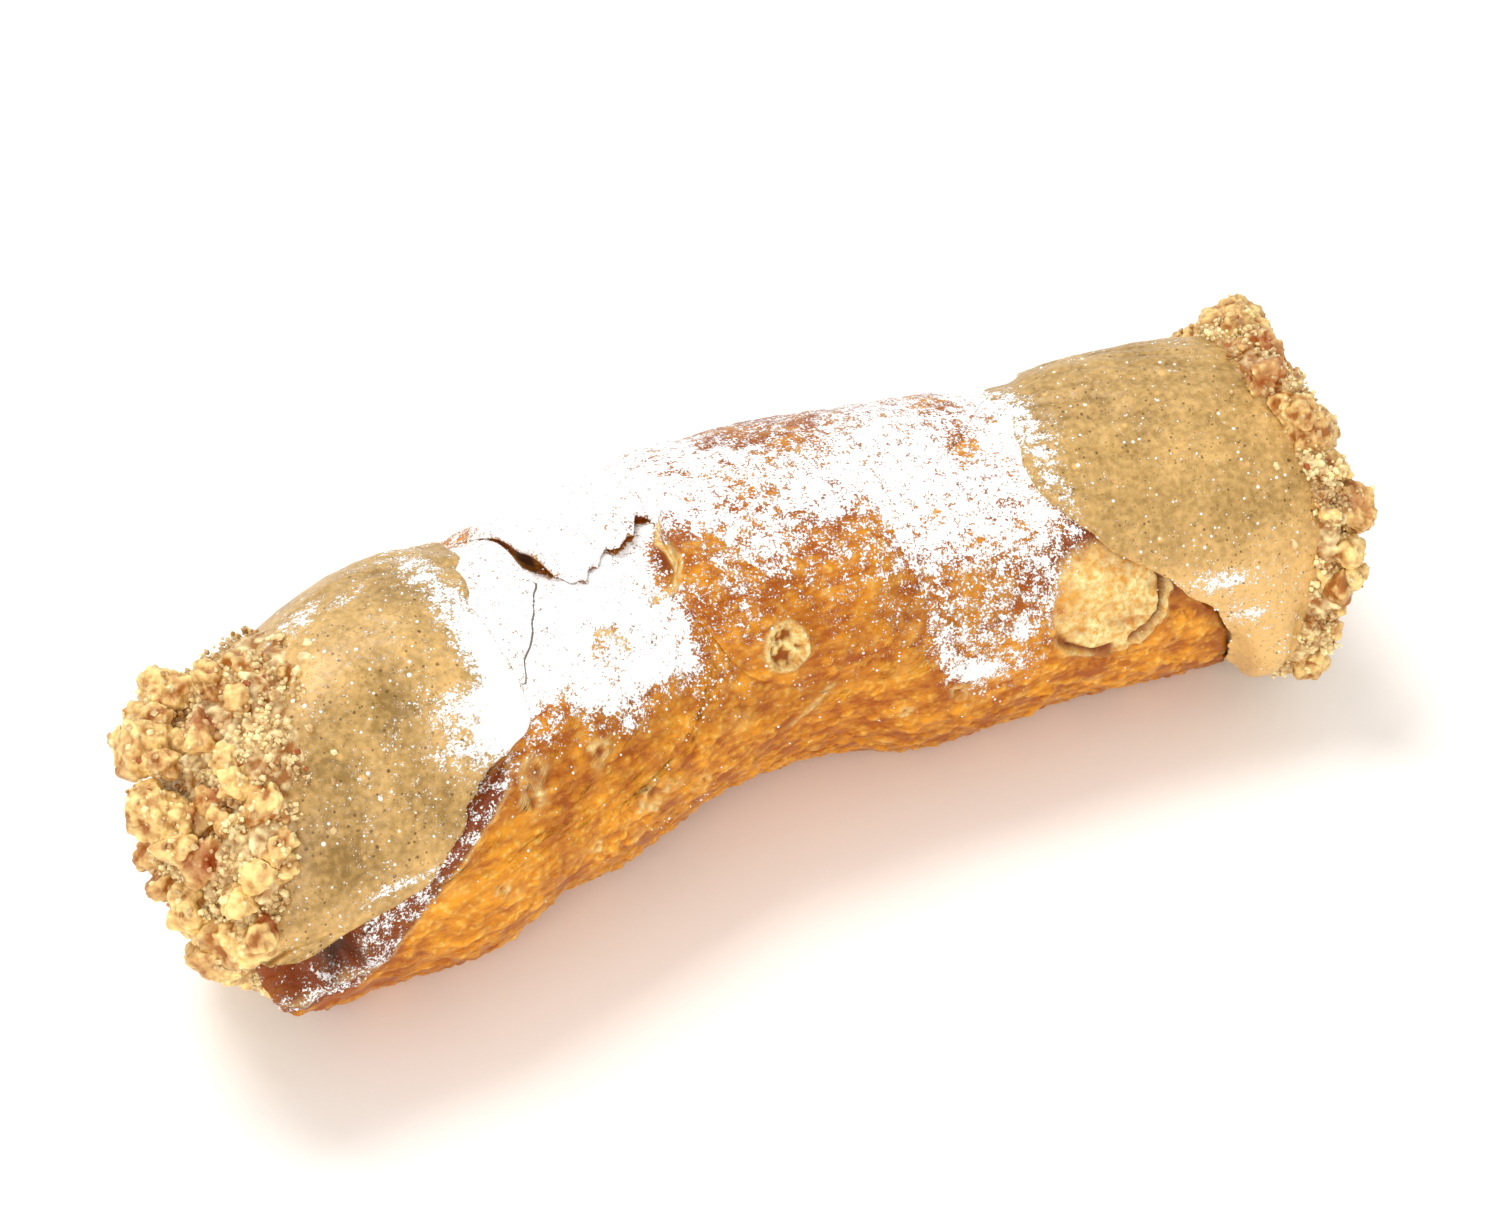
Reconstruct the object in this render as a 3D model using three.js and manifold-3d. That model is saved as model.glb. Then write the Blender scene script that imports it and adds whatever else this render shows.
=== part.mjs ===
// A filled Sicilian cannolo: an oval of dough wrapped round a tube and fried, packed with nut cream, its
// two ends dipped in chopped nuts. Millimetres, +Z up, lying on z = 0 with its length along X.
//
// The pastry is worked out in tube coordinates: `along` runs down the tube in mm, and `around` is the angle
// from straight up, in degrees, positive towards the front (-Y), so 90 is the front, 180 the underside and
// -90 the back.
import * as THREE from 'three';
import { mergeVertices } from 'three/addons/utils/BufferGeometryUtils.js';
import Module from 'manifold-3d';

const wasm = await Module();
wasm.setup();
const { Manifold, Mesh } = wasm;

// ---- driving sizes, mm and degrees ----
const centreShift = { x: 1.7, y: 5.9 };   // puts the middle of the whole at x = y = 0
const tubeRadius = 17.3;                  // outside of the plain fried tube
const wallThickness = 1.9;
const flapThickness = 1.5;                // the outer turn of dough where it laps over the inner one
const seamGap = 0.6;                      // clear space between the pastry and the cream
const nutGap = 0.85;                      // and round the nuts
const floorHeight = 0;                    // the surface it lies on; the underside is flattened there
const sunk = 0.4;                         // how far a plain tube would reach below it, so that flats form
const floorWall = 1.3;                    // the least thickness of pastry over that surface
const nutFloorGap = 0.6;                  // the nuts stay this far off that surface

// The tube's centre line: bowed towards the front at both ends, and arched off the surface left of the middle
const bow = { rest: -0.9, ends: -6, endsAt: 60 };
const sways = [[0, 10, 1.6], [-30, 14, -1.2]];                          // sideways: [along, spread, shift]
const arches = [[-45, 16, 2.1], [10, 10, 0.7], [-15, 11, 1.1], [58, 12, 0.4]];   // upwards, likewise

// Slow swellings of the tube: [along, around, spread along, spread around, rise]
const swellings = [
  [-44, 90, 15, 400, 2.3],    // wide mouth at the left
  [10, 90, 10, 400, 0.7],     // belly right of the middle
  [55, 90, 12, 400, 0.4],     // slight flare at the right mouth
  [-3, -40, 9, 35, 1.5],      // puff on the back shoulder
  [-9, 120, 9, 35, -1.4],     // waist under the front
  [13, 125, 7, 30, 0.9],      // bulge it rests on
  [-56, 112, 7, 22, 1.6],     // spout of the lower left lip
  [22, 55, 6, 22, 0.5],
  [-24, 40, 8, 25, 0.4],
  [33, 77, 6, 21, 0.9],       // the big blister's own swelling
];
// The broken-in top of the big blister, towards the right on the front
const burst = { along: 33.2, around: 78, halfLength: 6.3, halfTurn: 21, depth: 1.1, floorShare: 0.65 };

// Where the pastry ends at each mouth: [around, along]. Short on top, long underneath, as a wrapped oval is.
const leftMouth = [[-180, -57], [-130, -55], [-92, -47], [-62, -36], [-32, -32.5], [10, -34.5],
  [45, -33.3], [59, -39.2], [72, -46], [80, -53], [92, -62.5], [108, -61], [126, -58]];
const rightMouth = [[-180, 54], [-130, 52], [-92, 46], [-62, 40], [-30, 35], [0, 33], [27, 29.5],
  [50, 34], [66, 39], [86, 44], [110, 47.6], [140, 51]];

// The outer turn's free edge: [share of the way from left mouth to right, around]. The tongue is its middle.
const flapEdge = [[-0.2, -45], [0, -30], [0.08, -14], [0.15, 9], [0.21, 12], [0.27, 11], [0.31, 6],
  [0.335, 36], [0.37, 56], [0.43, 69], [0.50, 76], [0.56, 76], [0.61, 69], [0.66, 56], [0.73, 36],
  [0.80, 17], [0.88, -2], [1, -32], [1.2, -60]];
// The edge stands up off the layer below at these shares of the way: [share, spread, rise]
const flapLifts = [[0.12, 0.035, 1.3], [0.26, 0.04, 0.7], [0.5, 0.12, 0.2]];
const flapFade = [70, 170];               // the lap melts into the wall this far round behind its edge
const curlFade = [4, 26];                 // and the standing-up edge lies down again this far behind
// Under the edge: where the lower layer ends against it, and the middle of the edge's own thickness
const flapFoot = { back: 357, eaveBack: 359.6, eaveRise: 0.8 };

// Cream: where its side turns into its end face, [around, along]
const creamLeftTurn = [[-180, -49], [-90, -40], [-45, -37], [10, -44.5], [45, -51], [80, -56.5],
  [120, -53]];
const creamRightTurn = [[-180, 52], [-90, 54.5], [0, 55.5], [60, 55.5], [100, 54], [140, 52]];
const creamStandsProud = 3.1;             // height of the bare cream over the cream inside the wall
const creamRun = 2.4;                     // it reaches that height this far past the pastry's edge
const edgeGap = 1.6;                      // and starts to rise this far past it
const leastBare = 0.6;                    // least length of a bare stretch, where the pastry reaches further
// Swells and hollows of the bare cream, given as the swellings are; the last two are the right mouth's drip
const creamLumps = [[-41, -35, 6, 28, 0.5], [-50, 0, 3, 40, -0.8], [46, -30, 9, 45, 1.3],
  [45, 62, 5, 16, 0.7], [48, 25, 5, 25, 0.3], [51.2, 106, 2.6, 20, 3.4], [51.6, 132, 2.4, 13, 2.2]];
// The two end faces: `apex` is how far each bulges along the tube, `power` how blunt it is, and `lean` how
// far its top stands out past its foot.
const creamFaces = {
  left: { turns: creamLeftTurn, apex: -65, power: 0.95, way: -1, lean: 0.14 },
  right: { turns: creamRightTurn, apex: 59.5, power: 0.45, way: 1, lean: 0.08 },
};

// Chopped nuts at each mouth; `reach` is how far from the middle of the face they go, [around, share]
const heaps = {
  left: { seed: 11, thickness: 2.6, chunks: 40,
    reach: [[-180, 0.6], [-90, 0.68], [-45, 0.7], [0, 0.8], [45, 0.8], [80, 0.66], [115, 0.56]] },
  right: { seed: 29, thickness: 2.6, chunks: 36,
    reach: [[-180, 0.84], [-60, 0.93], [0, 0.95], [110, 0.93]] },
};
const nutPieceSize = [2.8, 6.4];          // across, mm, of the general run of pieces
const smallerMore = 1.3;                  // more than 1 makes small pieces commoner than large ones
const strayTurn = 0.15;                   // how far a piece strays from an even spread, in golden angles
const nutUneven = { push: 0.25, flat: [0.6, 0.95] };   // how far a piece is out of round
const mealUneven = 0.3;                   // and the meal between the pieces, as a share of its thickness
const mealRim = { from: 0.8, left: 0.45 };   // it thins from this share of its reach, to this share of itself
const capFoot = 44;                       // the heaps are built outwards from this far along the tube
const goldenAngle = 137.5;
// The largest nuts: [along, around, radius, half length]
const bigNuts = {
  left: [[-61.5, -38, 17, 3.2], [-60.5, -9, 17.4, 3.8], [-55.5, -14, 18.4, 3.2], [-66, 2, 13.4, 3.8],
    [-67.5, 25, 11.5, 3.2], [-62, 45, 17, 3.6], [-58, 50, 18.8, 2.8], [-63.5, 76, 15, 2.8],
    [-62, 92, 16.4, 2.4]],
  right: [[62.5, -38, 18.6, 4.2], [59.5, 1, 17.8, 3.4], [57.5, 28, 18.2, 3.2], [61.5, 62, 17, 3.8],
    [59, 86, 17.6, 3.4], [57, 106, 18, 3.2], [62.5, 20, 14, 3.2], [57, 128, 17, 2.8]],
};

// ---- number of steps in the faceted surfaces ----
const pastrySteps = { along: 32, around: 36, tongueFrom: 0.3, tongueTo: 0.36, tongueLines: 5 };
const creamSteps = { bare: 4, body: 20, dome: 5, around: 32, crowd: 1.7 };
const heapSteps = { out: 7, around: 24 };
const shortestEdge = 0.03;                // mm; shorter ones are taken out of the nuts after they are cut

// ---- curves and swellings ----
const RAD = Math.PI / 180;
const mix = (a, b, t) => a + (b - a) * t;
const bell = (distance, spread) => Math.exp(-0.5 * (distance / spread) ** 2);
const turned = (angle) => ((((angle + 180) % 360) + 360) % 360) - 180;
const ease = (from, to, x) => {
  const t = Math.min(1, Math.max(0, (x - from) / (to - from)));
  return t * t * (3 - 2 * t);
};

// Smooth curve through knots [x, y]: cubic pieces whose slope at a knot is the slope between its neighbours.
// With a period the curve closes on itself.
function curveThrough(knots, x, period = 0) {
  let list = knots;
  if (period) {
    const first = knots[0][0];
    x = first + ((((x - first) % period) + period) % period);
    const moved = (k, by) => [k[0] + by, k[1]];
    list = [moved(knots.at(-1), -period), ...knots, moved(knots[0], period), moved(knots[1], period)];
  }
  const last = list.length - 1;
  let i = 0;
  while (i < last - 1 && x > list[i + 1][0]) i++;
  const slope = (k) => {
    const a = list[Math.max(0, k - 1)];
    const b = list[Math.min(last, k + 1)];
    return (b[1] - a[1]) / (b[0] - a[0]);
  };
  const [x0, y0] = list[i];
  const [x1, y1] = list[i + 1];
  const width = x1 - x0;
  const t = Math.min(1, Math.max(0, (x - x0) / width));
  return (2 * t ** 3 - 3 * t ** 2 + 1) * y0 + (t ** 3 - 2 * t ** 2 + t) * width * slope(i)
    + (3 * t ** 2 - 2 * t ** 3) * y1 + (t ** 3 - t ** 2) * width * slope(i + 1);
}

const humps = (list, x) => list.reduce((sum, [at, spread, rise]) => sum + rise * bell(x - at, spread), 0);
const raised = (list, along, around) => list.reduce((sum, [s, a, spreadAlong, spreadAround, rise]) =>
  sum + rise * bell(along - s, spreadAlong) * bell(turned(around - a), spreadAround), 0);

// ---- the tube ----
const centreY = (along) => bow.rest + bow.ends * (along / bow.endsAt) ** 2 + humps(sways, along);
const centreZ = (along) => tubeRadius - sunk + humps(arches, along);
const swollen = (along, around) => tubeRadius + raised(swellings, along, around);
function outside(along, around) {
  const { halfLength, halfTurn, depth, floorShare } = burst;
  const fromMiddle = Math.hypot((along - burst.along) / halfLength, (around - burst.around) / halfTurn);
  return swollen(along, around) - depth * (1 - ease(floorShare, 1, fromMiddle));
}
const inside = (along, around) => swollen(along, around) - wallThickness;
const leftEdge = (around) => curveThrough(leftMouth, around, 360);
const rightEdge = (around) => curveThrough(rightMouth, around, 360);

// A point in space from tube coordinates; nothing goes below the surface the cannolo lies on.
function place(along, around, radius, lowest = floorHeight) {
  const y = centreY(along) - radius * Math.sin(around * RAD);
  const z = centreZ(along) + radius * Math.cos(around * RAD);
  return [along + centreShift.x, y + centreShift.y, Math.max(lowest, z)];
}

// ---- meshes from rings of points ----
const apart = (p, q) => Math.hypot(p[0] - q[0], p[1] - q[1], p[2] - q[2]);

// Joins two rings of the same number of points with quads, each split along its shorter diagonal. The faces
// look outwards when the rings run along +X and each ring runs from +Z towards +Y.
function bridge(points, triangles, a, b, count) {
  for (let j = 0; j < count; j++) {
    const k = (j + 1) % count;
    const falling = apart(points[a + j], points[b + k]) < apart(points[a + k], points[b + j]);
    if (falling) triangles.push(a + j, b + k, a + k, a + j, b + j, b + k);
    else triangles.push(a + j, b + j, a + k, a + k, b + j, b + k);
  }
}

function geometryOf(points, triangles) {
  const geometry = new THREE.BufferGeometry();
  geometry.setAttribute('position', new THREE.BufferAttribute(new Float32Array(points.flat()), 3));
  geometry.setIndex(triangles);
  return geometry;
}

function solidOf(geometry) {
  const bare = geometry.clone();
  for (const name of ['normal', 'uv']) bare.deleteAttribute(name);
  const merged = mergeVertices(bare, 1e-4);
  return new Manifold(new Mesh({
    numProp: 3,
    vertProperties: merged.getAttribute('position').array,
    triVerts: new Uint32Array(merged.index.array),
  }));
}

// Cutting leaves some edges too short to see. Their two ends are drawn together, and the faces that had them
// go.
function withoutSlivers(points, triangles) {
  const twin = points.map((_, i) => i);
  const first = (i) => {
    while (twin[i] !== i) i = twin[i];
    return i;
  };
  const faces = Array.from({ length: triangles.length / 3 }, (_, t) => triangles.slice(3 * t, 3 * t + 3));
  for (const face of faces) {
    for (let k = 0; k < 3; k++) {
      const a = first(face[k]);
      const b = first(face[(k + 1) % 3]);
      if (a !== b && apart(points[a], points[b]) < shortestEdge) twin[Math.max(a, b)] = Math.min(a, b);
    }
  }
  return faces.map((face) => face.map(first)).filter(([a, b, c]) => a !== b && b !== c && c !== a).flat();
}

function geometryOfSolid(solid) {
  const mesh = solid.getMesh();
  const points = [];
  for (let i = 0; i < mesh.numVert; i++) {
    points.push([...mesh.vertProperties.subarray(i * mesh.numProp, i * mesh.numProp + 3)]);
  }
  return geometryOf(points, withoutSlivers(points, [...mesh.triVerts]));
}

// ---- the pastry ----
const seamAround = flapEdge.find(([share]) => share === 0)[1];
const flapAround = (share) => curveThrough(flapEdge, share);

// How much further apart two lines along a mouth's edge lie when measured down the tube, not square to it.
function slant(edge, around) {
  const step = 2;
  return Math.hypot(1, (edge(around + step) - edge(around - step)) / (2 * step * RAD * tubeRadius));
}

// Place down the tube at a share of the way between the mouths, both moved out by `grown`.
const between = (share, around, grown) => mix(leftEdge(around) - grown * slant(leftEdge, around),
  rightEdge(around) + grown * slant(rightEdge, around), share);

// Point of the wall: `share` is how far it lies from the left mouth to the right one, `back` how many degrees
// behind the flap's edge, and `lapped` 1 where the outer turn is counted in. The lines round the tube follow
// the edge near it and straighten out towards the underside.
function wallPoint(share, back, lapped, rise, grown) {
  const follow = 1 - ease(0, 180, Math.min(back, 360 - back));
  const around = seamAround - back + follow * (flapAround(share) - seamAround);
  const along = between(share, around, grown);
  const behind = flapAround(share) - around;
  const lap = lapped * (1 - ease(...flapFade, behind));
  const curl = lapped * humps(flapLifts, share) * (1 - ease(...curlFade, behind));
  const radius = outside(along, around) + lap * flapThickness + curl + rise + grown;
  return place(along, around, radius, floorHeight - grown);
}

function lining(share, back, grown) {
  const around = seamAround - back;
  const along = between(share, around, grown);
  return place(along, around, inside(along, around) - grown, floorHeight + floorWall + grown);
}

// Shares at which the wall's rings lie: even, and closer where the tongue's left side turns steeply down.
function wallShares() {
  const { along: steps, tongueFrom: from, tongueTo: to, tongueLines: lines } = pastrySteps;
  const even = Array.from({ length: steps + 1 }, (_, i) => i / steps).filter((t) => t < from || t > to);
  const close = Array.from({ length: lines }, (_, i) => mix(from, to, (i + 0.5) / lines));
  return [...even, ...close].sort((a, b) => a - b);
}

// The wall is one closed skin: the outer rings start at the flap's rim, run back round the tube to the foot
// of the flap, and climb its edge; the inner rings have one point for every two outer ones, and both mouths
// are closed. With `grown` every face stands out by that much, as a cutter that clears the nuts of the wall.
function pastry(grown = 0) {
  const turns = pastrySteps.around;
  const outerCount = turns + 2;
  const innerCount = outerCount / 2;
  const points = [];
  const triangles = [];
  const ringStarts = { outer: [], inner: [] };
  for (const share of wallShares()) {
    ringStarts.outer.push(points.length);
    for (let j = 0; j < turns; j++) points.push(wallPoint(share, (360 * j) / turns, 1, 0, grown));
    points.push(wallPoint(share, flapFoot.back, 0, 0, grown));
    points.push(wallPoint(share, flapFoot.eaveBack, 0, flapFoot.eaveRise, grown));
    ringStarts.inner.push(points.length);
    for (let j = 0; j < innerCount; j++) points.push(lining(share, (360 * j) / innerCount, grown));
  }
  const last = ringStarts.outer.length - 1;
  for (let i = 0; i < last; i++) {
    bridge(points, triangles, ringStarts.outer[i], ringStarts.outer[i + 1], outerCount);
    bridge(points, triangles, ringStarts.inner[i + 1], ringStarts.inner[i], innerCount);
  }
  // mouths: two outer steps to one inner step
  for (const [i, flip] of [[0, false], [last, true]]) {
    for (let k = 0; k < innerCount; k++) {
      const o = (n) => ringStarts.outer[i] + ((2 * k + n) % outerCount);
      const n = (m) => ringStarts.inner[i] + ((k + m) % innerCount);
      const fan = [[o(0), o(1), n(0)], [o(1), n(1), n(0)], [o(1), o(2), n(1)]];
      for (const t of fan) triangles.push(...(flip ? t.reverse() : t));
    }
  }
  return geometryOf(points, triangles);
}

// ---- the cream ----
// How far past the pastry's edge a point lies, square to the edge; less than 0 inside the pastry.
const pastEdge = (along, around) => Math.max((leftEdge(around) - along) / slant(leftEdge, around),
  (along - rightEdge(around)) / slant(rightEdge, around));

// Radius of the cream: it fills the wall, and past the pastry's edge it swells out above it.
function creamRadius(along, around, grown) {
  const out = ease(edgeGap, edgeGap + creamRun, pastEdge(along, around));
  const proud = creamStandsProud + raised(creamLumps, along, around);
  return inside(along, around) - seamGap + out * proud + grown;
}

const turnOf = (side, around) => curveThrough(creamFaces[side].turns, around, 360);

// Point over an end face: `b` runs from 0 degrees at the turn to 90 at the middle of the face.
// along = turn + (apex - turn) * sin(b), radius = side radius * cos(b) ^ power, moved out by `height`.
function overFace(side, around, b, height, lowest) {
  const { apex, power, way, lean } = creamFaces[side];
  const start = turnOf(side, around);
  const out = Math.sin(b * RAD);
  const radius = creamRadius(start, around, 0) * Math.cos(b * RAD) ** power + height * Math.cos(b * RAD);
  const along = mix(start, apex, out) + way * out * (height + lean * radius * Math.cos(around * RAD));
  return place(along, around, radius, lowest);
}

// Places down the tube where the cream's rings lie at one angle: over the bare stretch from the left turn to
// the pastry's edge, through the pastry, and over the right bare stretch. They lie closer together next to
// the pastry, where the cream rises over its edge.
function creamStations(around) {
  const { bare, body, crowd } = creamSteps;
  const start = turnOf('left', around);
  const end = turnOf('right', around);
  const leftRim = Math.max(start + leastBare, leftEdge(around) - edgeGap * slant(leftEdge, around));
  const rightRim = Math.min(end - leastBare, rightEdge(around) + edgeGap * slant(rightEdge, around));
  const even = Array.from({ length: body }, (_, i) => mix(leftRim, rightRim, (i + 1) / (body + 1)));
  const near = Array.from({ length: bare + 1 }, (_, i) => (i / bare) ** crowd);
  const leftBare = near.toReversed().map((t) => mix(leftRim, start, t));
  return [...leftBare, ...even, ...near.map((t) => mix(rightRim, end, t))];
}

// One closed skin from the middle of the left face to the middle of the right one.
function cream(grown = 0) {
  const { dome, around: turns } = creamSteps;
  const lowest = floorHeight + floorWall + seamGap - grown;
  const angles = Array.from({ length: turns }, (_, j) => (-360 * j) / turns);
  const cap = (side, b) => angles.map((around) => overFace(side, around, b, grown, lowest));
  const steps = Array.from({ length: dome - 1 }, (_, k) => (90 * (k + 1)) / dome);
  const columns = angles.map((around) => creamStations(around).map((along) =>
    place(along, around, creamRadius(along, around, grown), lowest)));
  const rings = [
    ...steps.toReversed().map((b) => cap('left', b)),
    ...columns[0].map((_, i) => columns.map((column) => column[i])),
    ...steps.map((b) => cap('right', b)),
  ];
  const points = rings.flat();
  const triangles = [];
  for (let i = 0; i < rings.length - 1; i++) bridge(points, triangles, i * turns, (i + 1) * turns, turns);
  const left = points.push(overFace('left', 0, 90, grown, lowest)) - 1;
  const right = points.push(overFace('right', 0, 90, grown, lowest)) - 1;
  const lastRing = (rings.length - 1) * turns;
  for (let j = 0; j < turns; j++) {
    const k = (j + 1) % turns;
    triangles.push(left, j, k, right, lastRing + k, lastRing + j);
  }
  return geometryOf(points, triangles);
}

// ---- the chopped nuts ----
// Small seeded generator of numbers from 0 to 1.
function randomFrom(seed) {
  let state = seed;
  return () => {
    state = (state * 1664525 + 1013904223) % 4294967296;
    return state / 4294967296;
  };
}

// Point over the cream's end, from `share` 0 at the middle of the face to 1 where it turns into the side.
const overEnd = (side, share, around, height) =>
  overFace(side, around, 90 * (1 - share), height, nutFloorGap);

// A broken nut: an icosahedron pushed out of true, stretched and turned.
function nutPiece(at, halfLength, random, detail = 0) {
  const geometry = mergeVertices(new THREE.IcosahedronGeometry(1, detail).deleteAttribute('normal')
    .deleteAttribute('uv'), 1e-4);
  const position = geometry.getAttribute('position');
  for (let i = 0; i < position.count; i++) {
    const k = mix(1 - nutUneven.push, 1 + nutUneven.push, random());
    position.setXYZ(i, position.getX(i) * k, position.getY(i) * k, position.getZ(i) * k);
  }
  const flat = () => halfLength * mix(...nutUneven.flat, random());
  geometry.scale(halfLength, flat(), flat());
  geometry.rotateX(random() * 2 * Math.PI);
  geometry.rotateZ(random() * 2 * Math.PI);
  geometry.translate(...at);
  return solidOf(geometry);
}

// The layer of meal and small bits under the larger pieces: a lumpy cap over the cream's end.
function mealCap(side, random) {
  const { out, around: turns } = heapSteps;
  const { thickness, reach } = heaps[side];
  const { way } = creamFaces[side];
  const points = [overEnd(side, 0, 0, thickness)];
  const triangles = [];
  const thinning = (t) => mix(1, mealRim.left, ease(mealRim.from, 1, t));
  const height = (t) => thickness * thinning(t) * mix(1 - mealUneven, 1 + mealUneven, random());
  for (let i = 1; i <= out; i++) {
    for (let j = 0; j < turns; j++) {
      const around = (-360 * j) / turns;
      points.push(overEnd(side, (curveThrough(reach, around, 360) * i) / out, around, height(i / out)));
    }
  }
  const rim = 1 + (out - 1) * turns;
  const middle = points.push(place(way * capFoot, 0, 0)) - 1;
  for (let j = 0; j < turns; j++) {
    const k = (j + 1) % turns;
    triangles.push(0, ...(way < 0 ? [1 + j, 1 + k] : [1 + k, 1 + j]));
    triangles.push(middle, ...(way < 0 ? [rim + k, rim + j] : [rim + j, rim + k]));
  }
  for (let i = 1; i < out; i++) {
    const near = 1 + (i - 1) * turns;
    const far = near + turns;
    if (way > 0) bridge(points, triangles, far, near, turns);
    else bridge(points, triangles, near, far, turns);
  }
  return solidOf(geometryOf(points, triangles));
}

function nuts(side, cutters) {
  const { seed, thickness, chunks, reach } = heaps[side];
  const random = randomFrom(seed);
  let heap = mealCap(side, random);
  const pieces = [];
  for (const [along, around, radius, halfLength] of bigNuts[side]) {
    pieces.push(nutPiece(place(along, around, radius, nutFloorGap), halfLength, random, 1));
  }
  for (let i = 0; i < chunks; i++) {
    // golden-angle spread over the face, so that the pieces lie evenly
    const around = goldenAngle * (i + strayTurn * random());
    const share = curveThrough(reach, around, 360) * Math.sqrt((i + 0.5) / chunks);
    const halfLength = 0.5 * mix(...nutPieceSize, random() ** smallerMore);
    pieces.push(nutPiece(overEnd(side, share, around, thickness), halfLength, random));
  }
  heap = Manifold.union([heap, ...pieces]);
  for (const cutter of cutters) heap = heap.subtract(cutter);
  heap = heap.trimByPlane([0, 0, 1], nutFloorGap);
  const whole = heap.decompose().sort((a, b) => b.volume() - a.volume())[0];
  return geometryOfSolid(whole);
}

// ---- the whole ----
const finish = (color, roughness) => new THREE.MeshStandardMaterial({ color, roughness, metalness: 0 });
const looks = {
  pastry: finish(0xc98036, 0.5),
  cream: finish(0xc7a05f, 0.45),
  nuts: finish(0xdcb063, 0.8),
};

const cannolo = new THREE.Group();
cannolo.name = 'cannolo';
function add(name, geometry, material) {
  const mesh = new THREE.Mesh(geometry, material);
  mesh.name = name;
  cannolo.add(mesh);
}

const cutters = [solidOf(cream(nutGap)), solidOf(pastry(nutGap))];
add('pastry_shell', pastry(), looks.pastry);
add('cream_filling', cream(), looks.cream);
add('chopped_nuts_left', nuts('left', cutters), looks.nuts);
add('chopped_nuts_right', nuts('right', cutters), looks.nuts);

export default cannolo;
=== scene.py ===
# A filled Sicilian cannolo lying on a pale floor: a fried pastry tube dusted with icing sugar, packed with
# hazelnut cream, both ends dipped in chopped hazelnuts. Shapes are worked out in mm and degrees, in tube
# coordinates: along runs down the tube, and around is the angle from straight up, positive to the front.
from functools import partial
import math
import bmesh
import bpy
import numpy as np
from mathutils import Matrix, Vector


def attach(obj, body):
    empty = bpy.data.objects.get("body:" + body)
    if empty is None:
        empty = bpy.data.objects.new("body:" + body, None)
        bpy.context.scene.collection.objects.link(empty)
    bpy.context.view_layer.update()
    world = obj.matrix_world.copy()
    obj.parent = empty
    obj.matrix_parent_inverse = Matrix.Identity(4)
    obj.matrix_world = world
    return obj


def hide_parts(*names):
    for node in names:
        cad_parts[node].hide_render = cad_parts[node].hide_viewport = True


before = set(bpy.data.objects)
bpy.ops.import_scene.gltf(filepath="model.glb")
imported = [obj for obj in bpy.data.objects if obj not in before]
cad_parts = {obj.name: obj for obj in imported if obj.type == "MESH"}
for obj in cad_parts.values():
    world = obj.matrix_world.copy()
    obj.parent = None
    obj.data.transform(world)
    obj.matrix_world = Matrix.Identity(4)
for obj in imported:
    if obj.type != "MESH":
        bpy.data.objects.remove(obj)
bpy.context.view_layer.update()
millimetre = 0.001
perDegree = math.radians(18)  # mm over the tube's surface for one degree round it
print("frame loaded")


# curves, swellings and noise, all on whole arrays
def mix(a, b, t):
    return a + (b - a) * t


def limited(x):
    return np.clip(x, 0, 1)


def ease(start, end, x):  # 0 before start, 1 after end, 3t^2 - 2t^3 between
    t = limited((x - start) / (end - start))
    return t * t * (3 - 2 * t)


def fade(start, end, x):  # 1 before start, 0 after end
    return 1 - ease(start, end, x)


def bell(distance, spread):  # exp(-d^2 / 2s^2)
    return np.exp(-0.5 * (distance / spread) ** 2)


def turned(angle):
    return np.mod(angle + 180, 360) - 180


def curveThrough(knots, x, period=0):
    # cubic pieces through the knots, the slope at a knot being that between its neighbours
    k = np.asarray(knots, float)
    if period:
        x = k[0, 0] + np.mod(x - k[0, 0], period)
        k = np.vstack([k[-1] - [period, 0], k, k[0] + [period, 0], k[1] + [period, 0]])
    before, after = np.vstack([k[:1], k[:-1]]), np.vstack([k[1:], k[-1:]])
    slope = (after - before)[:, 1] / (after - before)[:, 0]
    i = np.clip(np.searchsorted(k[:, 0], x) - 1, 0, len(k) - 2)
    width = k[i + 1, 0] - k[i, 0]
    t = limited((x - k[i, 0]) / width)
    rising = 3 * t**2 - 2 * t**3
    bend = (t**3 - 2 * t**2 + t) * slope[i] + (t**3 - t**2) * slope[i + 1]
    return mix(k[i, 1], k[i + 1, 1], rising) + width * bend


def through(controls, t):
    # the same kind of cubic through rows of control points, row 0 at t = 0, row 1 at t = 1 and so on
    last = len(controls) - 1
    i = np.clip(np.floor(t).astype(int), 0, last - 1)
    f = (t - i)[:, None]
    a, b = controls[np.maximum(i - 1, 0)], controls[i]
    c, d = controls[i + 1], controls[np.minimum(i + 2, last)]
    return b + 0.5 * f * (c - a + f * (2 * a - 5 * b + 4 * c - d + f * (3 * b - 3 * c + d - a)))


def humps(rows, x):  # sum of rise * bell(x - at)
    return sum(rise * bell(x - at, spread) for at, spread, rise in rows)


def raised(rows, along, around):  # sum of rise * bell along * bell around
    return sum(
        rise * bell(along - s, spreadAlong) * bell(turned(around - a), spreadAround)
        for s, a, spreadAlong, spreadAround, rise in rows
    )


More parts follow.
